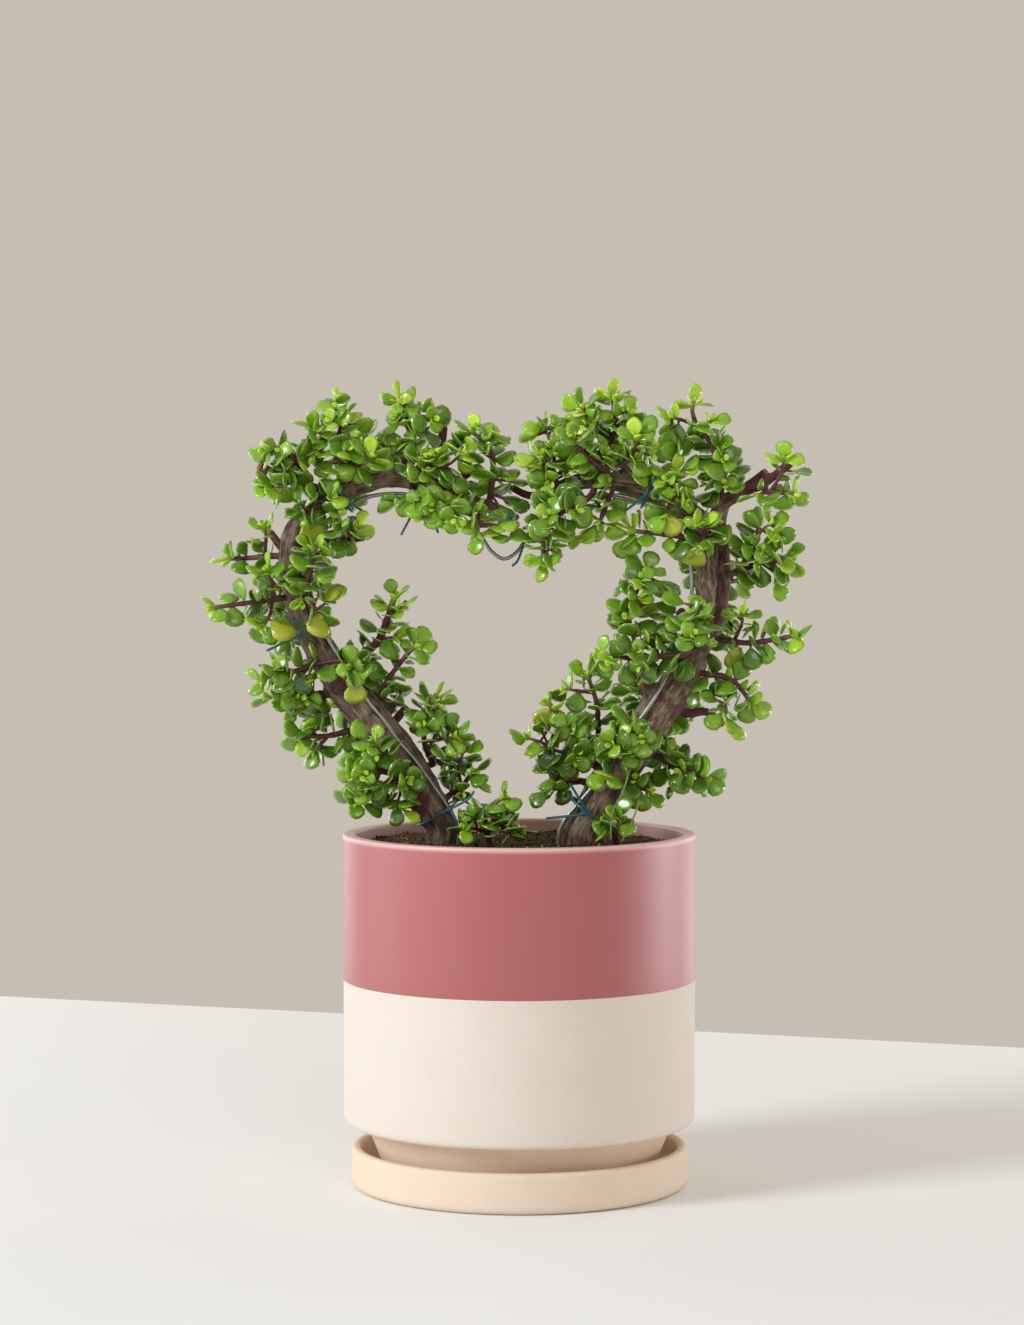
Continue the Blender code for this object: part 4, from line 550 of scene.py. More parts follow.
class Shape:
    """Points, faces and named per-point values that become one mesh."""

    def __init__(self) -> None:
        """Starts empty."""
        self.points: list[Vector] = []
        self.faces: list[list[int]] = []
        self.values: dict[str, list[float]] = {}

    def add(self, points: Sequence[Vector], faces: Sequence[Sequence[int]],
            **values: Sequence[float]) -> None:
        """Adds a closed shape.

        Args:
            points: Its points in metres.
            faces: Its faces, counted from its own first point.
            values: One number for each point, by attribute name.
        """
        start = len(self.points)
        self.points.extend(points)
        self.faces.extend([[start + i for i in face] for face in faces])
        for name, numbers in values.items():
            self.values.setdefault(name, []).extend(numbers)

    def add_tube(self, route: Route, sides: int, flat: float = 1.0, closed: bool = False,
                 along: Optional[tuple[float, float]] = None) -> None:
        """Adds a tube along a route.

        Args:
            route: Places in metres with radii in millimetres.
            sides: Points of each ring.
            flat: Height of the section as a share of its width.
            closed: Whether the last ring joins the first.
            along: The attribute "along" at the tube's start and at its end, if it has one.
        """
        points, faces, shares = sweep(route, sides, flat, closed)
        values = {}
        if along:
            start, end = along
            values["along"] = [start + (end - start) * share for share in shares]
        self.add(points, faces, **values)

    def mesh(self, name: str) -> bpy.types.Mesh:
        """The mesh, shaded smooth, with its values as attributes.

        Args:
            name: The mesh's name.

        Returns:
            The mesh.
        """
        mesh = bpy.data.meshes.new(name)
        mesh.from_pydata(self.points, [], self.faces)
        for key, numbers in self.values.items():
            layer = mesh.attributes.new(key, "FLOAT", "POINT")
            layer.data.foreach_set("value", numbers)
        mesh.shade_smooth()
        return mesh


def side_of(ahead: Vector, turn: float) -> Vector:
    """A direction square to another one, turned round it by an angle."""
    side = ahead.orthogonal().normalized()
    side.rotate(Quaternion(ahead, turn))
    return side


def sweep(route: Route, sides: int, flat: float = 1.0,
          closed: bool = False) -> tuple[list[Vector], list[list[int]], list[float]]:
    """A tube along a route, its rings carried along without twist.

    Args:
        route: Places in metres with radii in millimetres.
        sides: Points of each ring.
        flat: Height of the section as a share of its width.
        closed: Whether the last ring joins the first.

    Returns:
        The points, the faces, and for each point how far along the route it is, 0 to 1.
    """
    places = [p for p, _ in route]
    count = len(places)
    lasting = count if closed else count - 1
    side: Optional[Vector] = None
    points, along = [], []
    for i, (place, radius) in enumerate(route):
        after = places[(i + 1) % count] if closed or i < count - 1 else place
        before = places[i - 1] if closed or i else place
        ahead = (after - before).normalized()
        side = ahead.orthogonal() if side is None else side - ahead * side.dot(ahead)
        side.normalize()
        up = ahead.cross(side)
        for k in range(sides):
            turn = math.tau * k / sides
            reach = side * math.cos(turn) + up * (math.sin(turn) * flat)
            points.append(place + reach * radius * MM)
            along.append(i / lasting)
    faces = []
    for i in range(lasting):
        ring, following = i * sides, (i + 1) % count * sides
        for k in range(sides):
            onward = (k + 1) % sides
            faces.append([ring + k, ring + onward, following + onward, following + k])
    if not closed:
        faces.append(list(range(sides))[::-1])
        faces.append([(count - 1) * sides + k for k in range(sides)])
    return points, faces, along


@dataclass
class Leaf:
    """A blade: where it starts, the way it points, its face, its length in mm and its root."""

    start: Vector
    axis: Vector
    face: Vector
    length: float
    root: Vector
    share: float = 0.5  # how far along its stem it grows
    grown_up: float = 0.5  # 0 for a bud's leaf, 1 for an old one

    @property
    def middle(self) -> Vector:
        """The middle of the blade."""
        return self.start + self.axis * self.length / 2 * MM

    @property
    def turn(self) -> Quaternion:
        """The turn from a blade that lies along X with its face up."""
        side = self.face.cross(self.axis)
        return Matrix((self.axis, side, self.face)).transposed().to_quaternion()

    def blade(self, grown: float = 0.0) -> tuple[list[Vector], list[list[int]]]:
        """The plain blade of the solids, used to keep leaves clear of each other.

        Args:
            grown: How much larger it is made on every side, in millimetres.

        Returns:
            Its points and faces.
        """
        sides = RULE.small_sides if self.length < RULE.small * VIEW.grid_mm else RULE.sides
        side = self.face.cross(self.axis)
        half = self.length / 2 + grown
        wide = self.length * RULE.width / 2 + grown
        thick = (self.length * RULE.thick / 2 + grown) * MM
        points = [self.root]
        for k in range(1, sides):
            turn = math.pi + math.tau * k / sides
            x, y = math.cos(turn), math.sin(turn)
            offset = self.axis * x * half + side * y * wide * (1 + RULE.obovate * x)
            points.append(self.middle + offset * MM)
        points += [self.middle + self.face * thick, self.middle - self.face * thick]
        faces = []
        for k in range(sides):
            onward = (k + 1) % sides
            faces += [[k, onward, sides], [onward, k, sides + 1]]
        return points, faces


class Neighbours:
    """Everything that is already placed, so that a new blade can keep clear of other nodes."""

    def __init__(self) -> None:
        """Starts empty."""
        self.solids: list[tuple[str, Vector, float, BVHTree]] = []

    def add(self, node: str, points: Sequence[Vector], faces: Sequence[Sequence[int]]) -> None:
        """Adds a solid of a node."""
        middle = sum(points, Vector()) / len(points)
        reach = max((p - middle).length for p in points)
        self.solids.append((node, middle, reach, BVHTree.FromPolygons(points, faces)))

    def hits(self, node: str, points: Sequence[Vector],
             faces: Sequence[Sequence[int]]) -> tuple[int, int]:
        """How many solids of other nodes, and of the same node, these faces cross.

        Args:
            node: The node that the blade belongs to; its own stems don't count.
            points: The blade's points.
            faces: The blade's faces.

        Returns:
            The count among other nodes and the count in its own.
        """
        middle = sum(points, Vector()) / len(points)
        reach = max((p - middle).length for p in points)
        tree = BVHTree.FromPolygons(points, faces)
        others = own = 0
        for name, centre, radius, solid in self.solids:
            if name == node + " stem":
                continue
            if (centre - middle).length < reach + radius and tree.overlap(solid):
                own += name == node
                others += name != node
        return others, own


@dataclass
class Growth:
    """A grown spray: its routes, its spur on the trunk and its leaves."""

    spray: Spray
    routes: list[Route]
    spur: Optional[Route]
    leaves: list[Leaf] = field(default_factory=list)
    fillers: list[Leaf] = field(default_factory=list)
    shoots: list[Route] = field(default_factory=list)


class Plan:
    """Grows the whole plant by the rule that its solids follow."""

    def __init__(self, nodes: dict[str, bpy.types.Object]) -> None:
        """Plans every stem and leaf.

        Args:
            nodes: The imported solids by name, which the leaves keep clear of.
        """
        rows = {LEFT: (TRUNK_LEFT, BRANCHES_LEFT), RIGHT: (TRUNK_RIGHT, BRANCHES_RIGHT)}
        self.skeletons = {
            name: skeleton_of([VIEW.route(main)] + [VIEW.route(b) for b in branches])
            for name, (main, branches) in rows.items()
        }
        self.wood = self.skeletons[LEFT] + self.skeletons[RIGHT]
        self.wire = wire_route(self.wood)
        self.wire_samples = smooth_route(self.wire[1:-1], SIZE.sample_step)
        self.neighbours = Neighbours()
        for name, node in nodes.items():
            if not name.startswith("spray") and name != "saucer":
                points = [v.co.copy() for v in node.data.vertices]
                faces = [list(p.vertices) for p in node.data.polygons]
                self.neighbours.add(name, points, faces)
        self.growths = self.grow_stems()
        for growth in self.growths:
            growth.leaves = self.grow_leaves(growth, growth.spray.leaves, growth.spray.name)
        for growth in self.growths:
            seed = growth.spray.name + " fillers"
            growth.fillers = self.grow_leaves(growth, growth.spray.fillers, seed)
        for spot in GAPS_TO_FILL:
            growth = min(self.growths, key=lambda g: self.distance_to(g, spot))
            growth.fillers.append(self.roomiest_leaf(growth, spot))

    def roomiest_leaf(self, growth: Growth, spot: Sequence[float]) -> Leaf:
        """The leaf at a spot that crosses the fewest others among a few tries.

        Args:
            growth: The spray that it belongs to.
            spot: Where it shows, with its size.

        Returns:
            The leaf.
        """
        draw = random.Random(f"{spot[0]} {spot[1]}")
        samples = self.rooting_samples(growth.routes)
        name = growth.spray.name
        tries = []
        for _ in range(RULE.tries):
            length = spot[2] * VIEW.grid_mm * draw.uniform(*RULE.sizes)
            leaf = self.leaf_from(spot[:2], length, samples, draw.choice((-1, -1, 1)), draw)
            tries.append((sum(self.neighbours.hits(name, *leaf.blade())), len(tries), leaf))
        leaf = min(tries)[2]
        self.neighbours.add(name, *leaf.blade())
        return leaf

    @staticmethod
    def distance_to(growth: Growth, spot: Sequence[float]) -> float:
        """How far a spot of the front view is from the stems of a spray."""
        flat = VIEW.at(*spot[:2]).xz
        return min((place.xz - flat).length for place, _ in skeleton_of(growth.routes))

    def grow_stems(self) -> list[Growth]:
        """The routes of every spray, each bent clear of what is already placed."""
        fixed = {
            LEFT: self.skeletons[RIGHT] + self.wire_samples,
            RIGHT: self.skeletons[LEFT] + self.wire_samples,
            SOIL: self.wood + self.wire_samples,
        }
        placed: Route = []
        growths = []
        for spray in SPRAYS:
            skeleton = self.skeletons.get(spray.grows_from)
            routes, spur = self.stem_routes(spray, skeleton, fixed[spray.grows_from] + placed)
            placed += skeleton_of(routes)
            growths.append(Growth(spray, routes, spur))
            for route in routes:
                points, faces, _ = sweep(route, SIZE.stem_sides)
                self.neighbours.add(spray.name + " stem", points, faces)
        return growths

    def stem_routes(self, spray: Spray, skeleton: Optional[Route],
                    fixed: Route) -> tuple[list[Route], Optional[Route]]:
        """The routes of a spray's stems, tapering, each twig starting on an earlier stem.

        Args:
            spray: The row of the table.
            skeleton: Samples of the trunk that it grows from, or None in the soil.
            fixed: Samples of the other nodes that it has to clear.

        Returns:
            The routes and the spur that the first one leaves, if any.
        """
        routes: list[Route] = []
        spur = None
        for number, points in enumerate(spray.stems):
            base = spray.thick if number == 0 else SIZE.twig_radius
            last = len(points) - 1
            rows = [
                (VIEW.at(*p), base * (1 - (1 - SIZE.tip_share) * i / last))
                for i, p in enumerate(points)
            ]
            if number == 0 and skeleton:
                heart, seat, onwards = self.seat_of(spray, skeleton)
                clear = (seat - heart).length + SIZE.free_of_seat * MM
                rows = [row for row in rows[1:] if (row[0] - heart).length > clear]
                start = seat + onwards * GAP * MM
                rows = [(start, base), (start + onwards * SIZE.straight * MM, base)] + rows
                spur = [(heart, spray.thick), (start + onwards * MM, spray.thick)]
            elif number == 0:
                rows = buried_end(points[0], base) + rows[1:]
            else:
                seat = routes[0][0][0]
                far = SIZE.fork_margin * MM
                samples = [s for s in skeleton_of(routes) if (s[0] - seat).length > far]
                rows[0] = (nearest(rows[0][0], samples)[0], base)
            route = smooth_route(rows, SIZE.stem_step)
            if skeleton:
                route = self.keep_off(route, base, skeleton)
            routes.append(self.bend_clear(route, base, fixed))
        return routes, spur

    @staticmethod
    def seat_of(spray: Spray, skeleton: Route) -> tuple[Vector, Vector, Vector]:
        """Where a spray leaves the wood.

        Args:
            spray: The row of the table.
            skeleton: Samples of the trunk that it grows from.

        Returns:
            The heart of its spur, the spur's end and its direction.
        """
        heart, wood = nearest(VIEW.at(*spray.stems[0][0]), skeleton)
        onwards = (VIEW.at(*spray.stems[0][1]) - heart).normalized()
        reach = wood + SIZE.spur
        while any(
            (heart + onwards * reach * MM - s).length < (r + spray.thick + GAP) * MM
            for s, r in skeleton
        ):
            reach += SIZE.spur_step
        return heart, heart + onwards * reach * MM, onwards

    @staticmethod
    def keep_off(route: Route, radius: float, skeleton: Route) -> Route:
        """Moves a stem outwards wherever it would run through its own trunk.

        Args:
            route: The stem.
            radius: Its radius in millimetres.
            skeleton: Samples of the trunk.

        Returns:
            The moved stem.
        """
        kept = list(route[:2])
        for place, width in route[2:]:
            for _ in range(SIZE.nudges):
                deep = min(skeleton, key=lambda s: (s[0] - place).length - s[1] * MM)
                need = (deep[1] + radius + GAP + SIZE.stem_play) * MM
                if (place - deep[0]).length >= need:
                    break
                place = place + (place - deep[0]).normalized() * SIZE.nudge * MM
            kept.append((place, width))
        return kept

    @staticmethod
    def bend_clear(route: Route, radius: float, fixed: Route) -> Route:
        """Bends a stem in depth, away from the tubes of other nodes that it would touch.

        Args:
            route: The stem.
            radius: Its radius in millimetres.
            fixed: Samples of the other tubes.

        Returns:
            The bent stem.
        """
        places = [p.copy() for p, _ in route]
        need = radius + GAP + SIZE.stem_play
        for _ in range(SIZE.nudges):
            touched = False
            for i in range(1, len(places)):
                for other, other_radius in fixed:
                    gap = places[i] - other
                    if gap.length >= (need + other_radius) * MM:
                        continue
                    shift = SIZE.nudge * MM * (1 if gap.y > 0 else -1)
                    for j in range(1, len(places)):
                        places[j].y += shift * max(0, 1 - abs(j - i) / SIZE.bend_spread)
                    touched = True
                    break
            if not touched:
                break
        return [(p, r) for p, (_, r) in zip(places, route)]

    @staticmethod
    def rooting_samples(routes: list[Route]) -> list[tuple[Vector, float, float]]:
        """Places on the stems' middle lines where a leaf may be rooted, clear of both ends.

        Args:
            routes: The stems of one spray.

        Returns:
            Places, radii, and how far along its stem each place is.
        """
        samples = []
        for route in routes:
            seat, tip = route[0][0], route[-1][0]
            for number, ((a, radius), (b, _)) in enumerate(zip(route, route[1:])):
                count = max(1, math.ceil((b - a).length / MM / SIZE.root_step))
                for i in range(count + 1):
                    spot = a.lerp(b, i / count)
                    if min((spot - seat).length, (spot - tip).length) > SIZE.root_margin * MM:
                        share = (number + i / count) / (len(route) - 1)
                        samples.append((spot, radius, share))
        return samples

    @staticmethod
    def leaf_from(spot: Sequence[float], length: float,
                  samples: list[tuple[Vector, float, float]], side: int,
                  draw: random.Random) -> Leaf:
        """A blade whose middle shows at a spot of the front view, rooted in the nearest stem.

        Args:
            spot: The spot on the grid.
            length: The leaf's length in millimetres.
            samples: Where it may be rooted.
            side: -1 for the front of the stem, 1 for its back.
            draw: The random draw of its spray.

        Returns:
            The leaf.
        """
        root, _, share = min(samples, key=lambda s: (VIEW.at(*spot, s[0].y / MM) - s[0]).length)
        start = root
        offset = VIEW.at(*spot, root.y / MM) - root
        reach = RULE.reach * length * MM
        flat = offset.length
        if flat < reach:
            offset.y = side * math.sqrt(reach ** 2 - flat ** 2)
        else:
            start = root + offset * (1 - reach / flat)
            offset.y = side * RULE.lean * reach
        axis = offset.normalized()
        across = draw.uniform(-RULE.tilt, RULE.tilt)
        outward = side * RULE.out + draw.uniform(-RULE.spread, RULE.spread)
        face = Vector((across, outward, RULE.up))
        face -= axis * face.dot(axis)
        if face.length < 0.1:
            face = axis.orthogonal()
        return Leaf(start, axis, face.normalized(), length, root, share)

    def grow_leaves(self, growth: Growth, spots: Rows, seed: str) -> list[Leaf]:
        """Places leaves of a spray, each turned or shortened until it clears the other nodes.

        Args:
            growth: The spray.
            spots: Where its leaves show.
            seed: The seed of its random draw.

        Returns:
            The leaves that found room.
        """
        spray = growth.spray
        samples = self.rooting_samples(growth.routes)
        draw = random.Random(seed)
        share = RULE.back_front_share if spray.back else RULE.front_share
        placed: list[Leaf] = []
        for spot in spots:
            units = spot[2] if len(spot) > 2 else RULE.units
            usual = units * VIEW.grid_mm
            large = units > RULE.small
            best, fewest = None, 2 if large else 1
            for attempt in range(RULE.tries):
                side = -1 if draw.random() < share else 1
                size = usual * draw.uniform(*RULE.sizes) * (1 - RULE.shrink * attempt)
                leaf = self.leaf_from(spot[:2], size, samples, side, draw)
                others, own = self.neighbours.hits(spray.name, *leaf.blade(GAP))
                if not others and own < fewest:
                    best, fewest = leaf, own
                if not others and own == 0:
                    break
            if not best:
                continue
            if not large and any(
                (best.middle - other.middle).length < RULE.crowding * MM for other in placed
            ):
                continue
            young, grown, old = RULE.ages
            best.grown_up = old if large else young if units < RULE.young else grown
            self.neighbours.add(spray.name, *best.blade())
            placed.append(best)
        return placed


def linear(colour: str) -> tuple[float, float, float, float]:
    """An sRGB hex colour as linear red, green, blue and full alpha."""
    parts = [int(colour[i:i + 2], 16) / 255 for i in (1, 3, 5)]
    parts = [p / 12.92 if p <= 0.04045 else ((p + 0.055) / 1.055) ** 2.4 for p in parts]
    return (parts[0], parts[1], parts[2], 1.0)


def per_size(millimetres: float) -> float:
    """The texture scale that gives features of a real size, on coordinates in metres."""
    return 1 / (millimetres * MM)


class Wiring:
    """A node tree that grows node by node."""

    def __init__(self, tree: bpy.types.NodeTree) -> None:
        """Starts on a tree."""
        self.tree = tree
        self.place: Optional[bpy.types.NodeSocket] = None

    def add(self, kind: str, settings: Optional[dict] = None, links: Optional[dict] = None,
            result: int = 0) -> Optional[bpy.types.NodeSocket]:
        """Adds a node; a texture reads the tree's coordinates unless it is given others.

        Args:
            kind: The node's type.
            settings: Values by property name, or by the name or number of an input.
            links: Outputs that feed it, by the name or number of its input.
            result: Which of its outputs is wanted.

        Returns:
            That output, if the node has any.
        """
        node = self.tree.nodes.new(kind)
        for key, value in (settings or {}).items():
            if isinstance(key, str) and hasattr(node, key):
                setattr(node, key, value)
            else:
                node.inputs[key].default_value = value
        links = dict(links or {})
        if self.place is not None and kind.startswith("ShaderNodeTex"):
            links.setdefault("Vector", self.place)
        for key, output in links.items():
            self.tree.links.new(output, node.inputs[key])
        return node.outputs[result] if node.outputs else None


def ramp(colour: bpy.types.NodeSocket, stops: Sequence[tuple[float, str]]) -> None:
    """Sets the stops of the colour ramp that gives a colour.

    Args:
        colour: The ColorRamp node's output.
        stops: Positions with their hex colours.
    """
    elements = colour.node.color_ramp.elements
    while len(elements) < len(stops):
        elements.new(1.0)
    for element, (position, shade) in zip(elements, stops):
        element.position = position
        element.color = linear(shade)


class Paint(Wiring):
    """A new material, whose textures read Object coordinates."""

    def __init__(self, name: str, settings: dict) -> None:
        """Starts a material.

        Args:
            name: Its name, the real material's.
            settings: Constant values of the Principled shader.
        """
        self.material = bpy.data.materials.new(name)
        self.material.use_nodes = True
        super().__init__(self.material.node_tree)
        self.shader = self.tree.nodes["Principled BSDF"]
        for key, value in settings.items():
            self.shader.inputs[key].default_value = value
        self.place = self.add("ShaderNodeTexCoord", result=3)

    def mottled(self, value: bpy.types.NodeSocket, pattern: bpy.types.NodeSocket, amount: float,
                stops: Sequence[tuple[float, str]]) -> bpy.types.NodeSocket:
        """The colours that a value runs through, shifted here and there by a pattern.

        Args:
            value: The value, 0 to 1.
            pattern: The pattern.
            amount: How far the pattern shifts it.
            stops: Positions with their hex colours.

        Returns:
            The colour.
        """
        shift = self.add("ShaderNodeMath", {"operation": "MULTIPLY_ADD", 1: amount, 2: -amount / 2},
                         {0: pattern})
        total = self.add("ShaderNodeMath", {"operation": "ADD", "use_clamp": True},
                         {0: value, 1: shift})
        colour = self.add("ShaderNodeValToRGB", None, {"Fac": total})
        ramp(colour, stops)
        return colour

    def finished(self, colour: bpy.types.NodeSocket, layers: Sequence[tuple] = (),
                 relief: Sequence = (), gloss: Optional[bpy.types.NodeSocket] = None,
                 ) -> bpy.types.Material:
        """Lays colours over the first one, adds the relief and links all to the shader.

        Args:
            colour: The first colour.
            layers: Masks with the hex colours that they lay over it.
            relief: Height of the surface, strength and depth in mm, if it has any.
            gloss: Roughness, where it varies.

        Returns:
            The material.
        """
        for mask, over in layers:
            colour = self.add("ShaderNodeMix", {"data_type": "RGBA", 7: linear(over)},
                              {0: mask, 6: colour}, result=2)
        found = {"Base Color": colour}
        if gloss is not None:
            found["Roughness"] = gloss
        if relief:
            height, strength, depth = relief
            found["Normal"] = self.add(
                "ShaderNodeBump", {"Strength": strength, "Distance": depth * MM}, {"Height": height})
        for name, output in found.items():
            self.tree.links.new(output, self.shader.inputs[name])
        return self.material


@dataclass(frozen=True)
class WaxyLeaf:
    """Cuticle of a succulent leaf: a smooth wax over soft green flesh.

    The wax gives small sharp highlights, and the flesh lets a little light through. The lighter, yellower rim
    of each leaf is painted light for the light through its thin edge, and young leaves are lighter and
    yellower than thick old ones.
    """

    name: str = "waxy_succulent_leaf"
    deep: str = "#345a0b"
    fresh: str = "#73a020"
    bright: str = "#bfdf38"
    old: str = "#b7b936"
    # painted light: a lighter rim that stands for light shining through the thin edge
    rim: str = "#cddf68"
    fleck: str = "#3d3a1c"
    mottle_mm: float = 3.0
    fleck_mm: float = 2.2  # between flecks, coarser than real ones so that they show
    pore_mm: float = 0.35

    def make(self) -> bpy.types.Material:
        """The material."""
        paint = Paint(self.name, {
            "IOR": 1.45, "Subsurface Weight": 0.16, "Subsurface Radius": (0.6, 0.9, 0.2),
            "Subsurface Scale": 0.0016, "Coat Weight": 0.45, "Coat Roughness": 0.08,
        })
        tone, rim, age = (
            paint.add("ShaderNodeAttribute", {"attribute_name": name}, result=2)
            for name in ("tone", "rim", "grown_up")
        )
        mottle, flecks, pores = (
            paint.add("ShaderNodeTexNoise", {"Scale": per_size(size), "Detail": detail})
            for size, detail in ((self.mottle_mm, 3.0), (self.fleck_mm, 1.0), (self.pore_mm, 2.0))
        )
        green = paint.mottled(tone, mottle, 0.34,
                              [(0.0, self.deep), (0.5, self.fresh), (1.0, self.bright)])
        # Old leaves' yellow and the flecks are their own colours; the lighter rim is painted light through
        # the thin edge.
        layers = [
            (paint.add("ShaderNodeMapRange", {"From Min": start, "From Max": end, "To Max": most},
                       {"Value": value}), colour)
            for value, start, end, most, colour in (
                (age, 0.75, 1.0, 0.75, self.old), (rim, 0.86, 1.0, 0.4, self.rim),
                (flecks, 0.74, 0.78, 0.7, self.fleck))
        ]
        gloss = paint.add("ShaderNodeMapRange", {"To Min": 0.16, "To Max": 0.36}, {"Value": mottle})
        return paint.finished(green, layers, (pores, 0.12, 0.06), gloss)


@dataclass(frozen=True)
class Bark:
    """Corky bark of an old jade stem: grey-brown skin over wood, dull, finely wrinkled.

    The wrinkles run along the stem, so their pattern reads the straightened stem. Thin
    young wood is darker and redder than the trunk, and a cut shows paler wood.
    """

    name: str = "jade_bark"
    crack: str = "#31251c"
    brown: str = "#604c3e"
    grey: str = "#94816f"
    young: str = "#56292f"
    cut: str = "#a8794f"
    wrinkle_mm: float = 1.4
    patch_mm: float = 7.0
    grit_mm: float = 0.4

    def make(self) -> bpy.types.Material:
        """The material."""
        paint = Paint(self.name, {"Roughness": 0.78, "IOR": 1.4, "Specular IOR Level": 0.35})
        add = paint.add
        straight = add("ShaderNodeAttribute", {"attribute_name": "straight"}, result=1)
        youth, ends = (add("ShaderNodeAttribute", {"attribute_name": name}, result=2)
                       for name in ("young", "cut"))
        stretched = add("ShaderNodeMapping", {"Scale": (1.0, 1.0, 0.22)}, {"Vector": straight})
        wrinkles = add("ShaderNodeTexNoise",
                       {"Scale": per_size(self.wrinkle_mm), "Detail": 5.0, "Roughness": 0.62},
                       {"Vector": stretched})
        patches, grit = (add("ShaderNodeTexNoise", {"Scale": per_size(size), "Detail": detail})
                         for size, detail in ((self.patch_mm, 4.0), (self.grit_mm, 2.0)))
        skin = add("ShaderNodeValToRGB", None, {"Fac": wrinkles})
        ramp(skin, [(0.36, self.crack), (0.5, self.brown), (0.66, self.grey)])
        pale = add("ShaderNodeMapRange", {"From Min": 0.45, "From Max": 0.65, "To Max": 0.55},
                   {"Value": patches})
        height = add("ShaderNodeMath", {"operation": "MULTIPLY_ADD", 1: 0.35},
                     {0: grit, 2: wrinkles})
        layers = [(pale, self.grey), (youth, self.young), (ends, self.cut)]
        return paint.finished(skin, layers, (height, 0.7, 0.5))


@dataclass(frozen=True)
class YoungStem:
    """Skin of a young jade stem: purple-red and smooth at the tip, browner towards the wood."""

    name: str = "young_jade_stem"
    wood: str = "#4e382c"
    maroon: str = "#5a2a2f"
    tip: str = "#6f8136"
    streak_mm: float = 1.0

    def make(self) -> bpy.types.Material:
        """The material."""
        paint = Paint(self.name, {"Roughness": 0.5, "IOR": 1.42, "Subsurface Weight": 0.05,
                                  "Subsurface Scale": 0.001})
        along = paint.add("ShaderNodeAttribute", {"attribute_name": "along"}, result=2)
        streaks = paint.add("ShaderNodeTexNoise",
                            {"Scale": per_size(self.streak_mm), "Detail": 3.0})
        stops = [(0.05, self.wood), (0.35, self.maroon), (0.8, self.maroon), (1.0, self.tip)]
        skin = paint.mottled(along, streaks, 0.4, stops)
        return paint.finished(skin, relief=(streaks, 0.4, 0.2))


@dataclass(frozen=True)
class PottingMix:
    """Damp peat and bark: very dark and dull, with redder chips and a few pale grains."""

    name: str = "potting_mix"
    peat: str = "#33251a"
    olive: str = "#523d25"
    chip: str = "#83532f"
    pale: str = "#a98d66"
    crumb_mm: float = 1.6

    def make(self) -> bpy.types.Material:
        """The material."""
        paint = Paint(self.name, {"Roughness": 0.92, "Specular IOR Level": 0.25})
        hue = paint.add("ShaderNodeAttribute", {"attribute_name": "hue"}, result=2)
        crumbs = paint.add("ShaderNodeTexNoise",
                           {"Scale": per_size(self.crumb_mm), "Detail": 4.0})
        stops = [(0.15, self.peat), (0.5, self.olive), (0.8, self.chip), (0.97, self.pale)]
        colour = paint.mottled(hue, crumbs, 0.3, stops)
        return paint.finished(colour, relief=(crumbs, 0.8, 0.6))


@dataclass(frozen=True)
class PinkGlaze:
    """Fired satin glaze on stoneware: glassy, even, a little clouded; paler on the rim's top, partly thin
    glaze and partly painted highlight, and painted light on the inner wall.
    """

    name: str = "pink_satin_glaze"
    body: str = "#aa524b"
    cloud: str = "#a25558"
    # pale pink over the rim's top (thin glaze and painted highlight) and over the inner wall (painted light)
    thin_glaze_and_highlight: str = "#ecc0bc"
    cloud_mm: float = 55.0
    orange_peel_mm: float = 1.7
    # heights of the pale band on the rim, and radii within which the inner wall is painted lighter
    thin_and_lit_rim_mm: tuple[float, float] = (157.4, 159.4)
    painted_light_inside_mm: tuple[float, float] = (77.8, 76.4)

    def make(self) -> bpy.types.Material:
        """The material."""
        paint = Paint(self.name, {"IOR": 1.5, "Coat Weight": 0.85, "Coat Roughness": 0.43})
        add = paint.add
        clouds, peel = (
            add("ShaderNodeTexNoise", {"Scale": per_size(size), "Detail": detail})
            for size, detail in ((self.cloud_mm, 4.0), (self.orange_peel_mm, 2.0))
        )
        colour = add("ShaderNodeMix",
                     {"data_type": "RGBA", 6: linear(self.body), 7: linear(self.cloud)},
                     {0: clouds}, result=2)
        height = add("ShaderNodeSeparateXYZ", None, {0: paint.place}, result=2)
        level = add("ShaderNodeVectorMath", {"operation": "MULTIPLY", 1: (1.0, 1.0, 0.0)},
                    {0: paint.place})
        radius = add("ShaderNodeVectorMath", {"operation": "LENGTH"}, {0: level}, result=1)
        # Painted light: the rim's top band and the inner wall take the pale pink; on the rim it is partly
        # thin glaze and partly painted highlight, inside it is painted light on the wall.
        top, inside = (
            add("ShaderNodeMapRange",
                {"From Min": start * MM, "From Max": end * MM, "To Max": most}, {"Value": value})
            for value, (start, end), most in ((height, self.thin_and_lit_rim_mm, 0.75),
                                              (radius, self.painted_light_inside_mm, 0.6))
        )
        thin_glaze_and_highlight = add("ShaderNodeMath", {"operation": "MAXIMUM"}, {0: top, 1: inside})
        gloss = add("ShaderNodeMapRange", {"To Min": 0.46, "To Max": 0.58}, {"Value": clouds})
        return paint.finished(colour, [(thin_glaze_and_highlight, self.thin_glaze_and_highlight)], (peel, 0.1, 0.2), gloss)


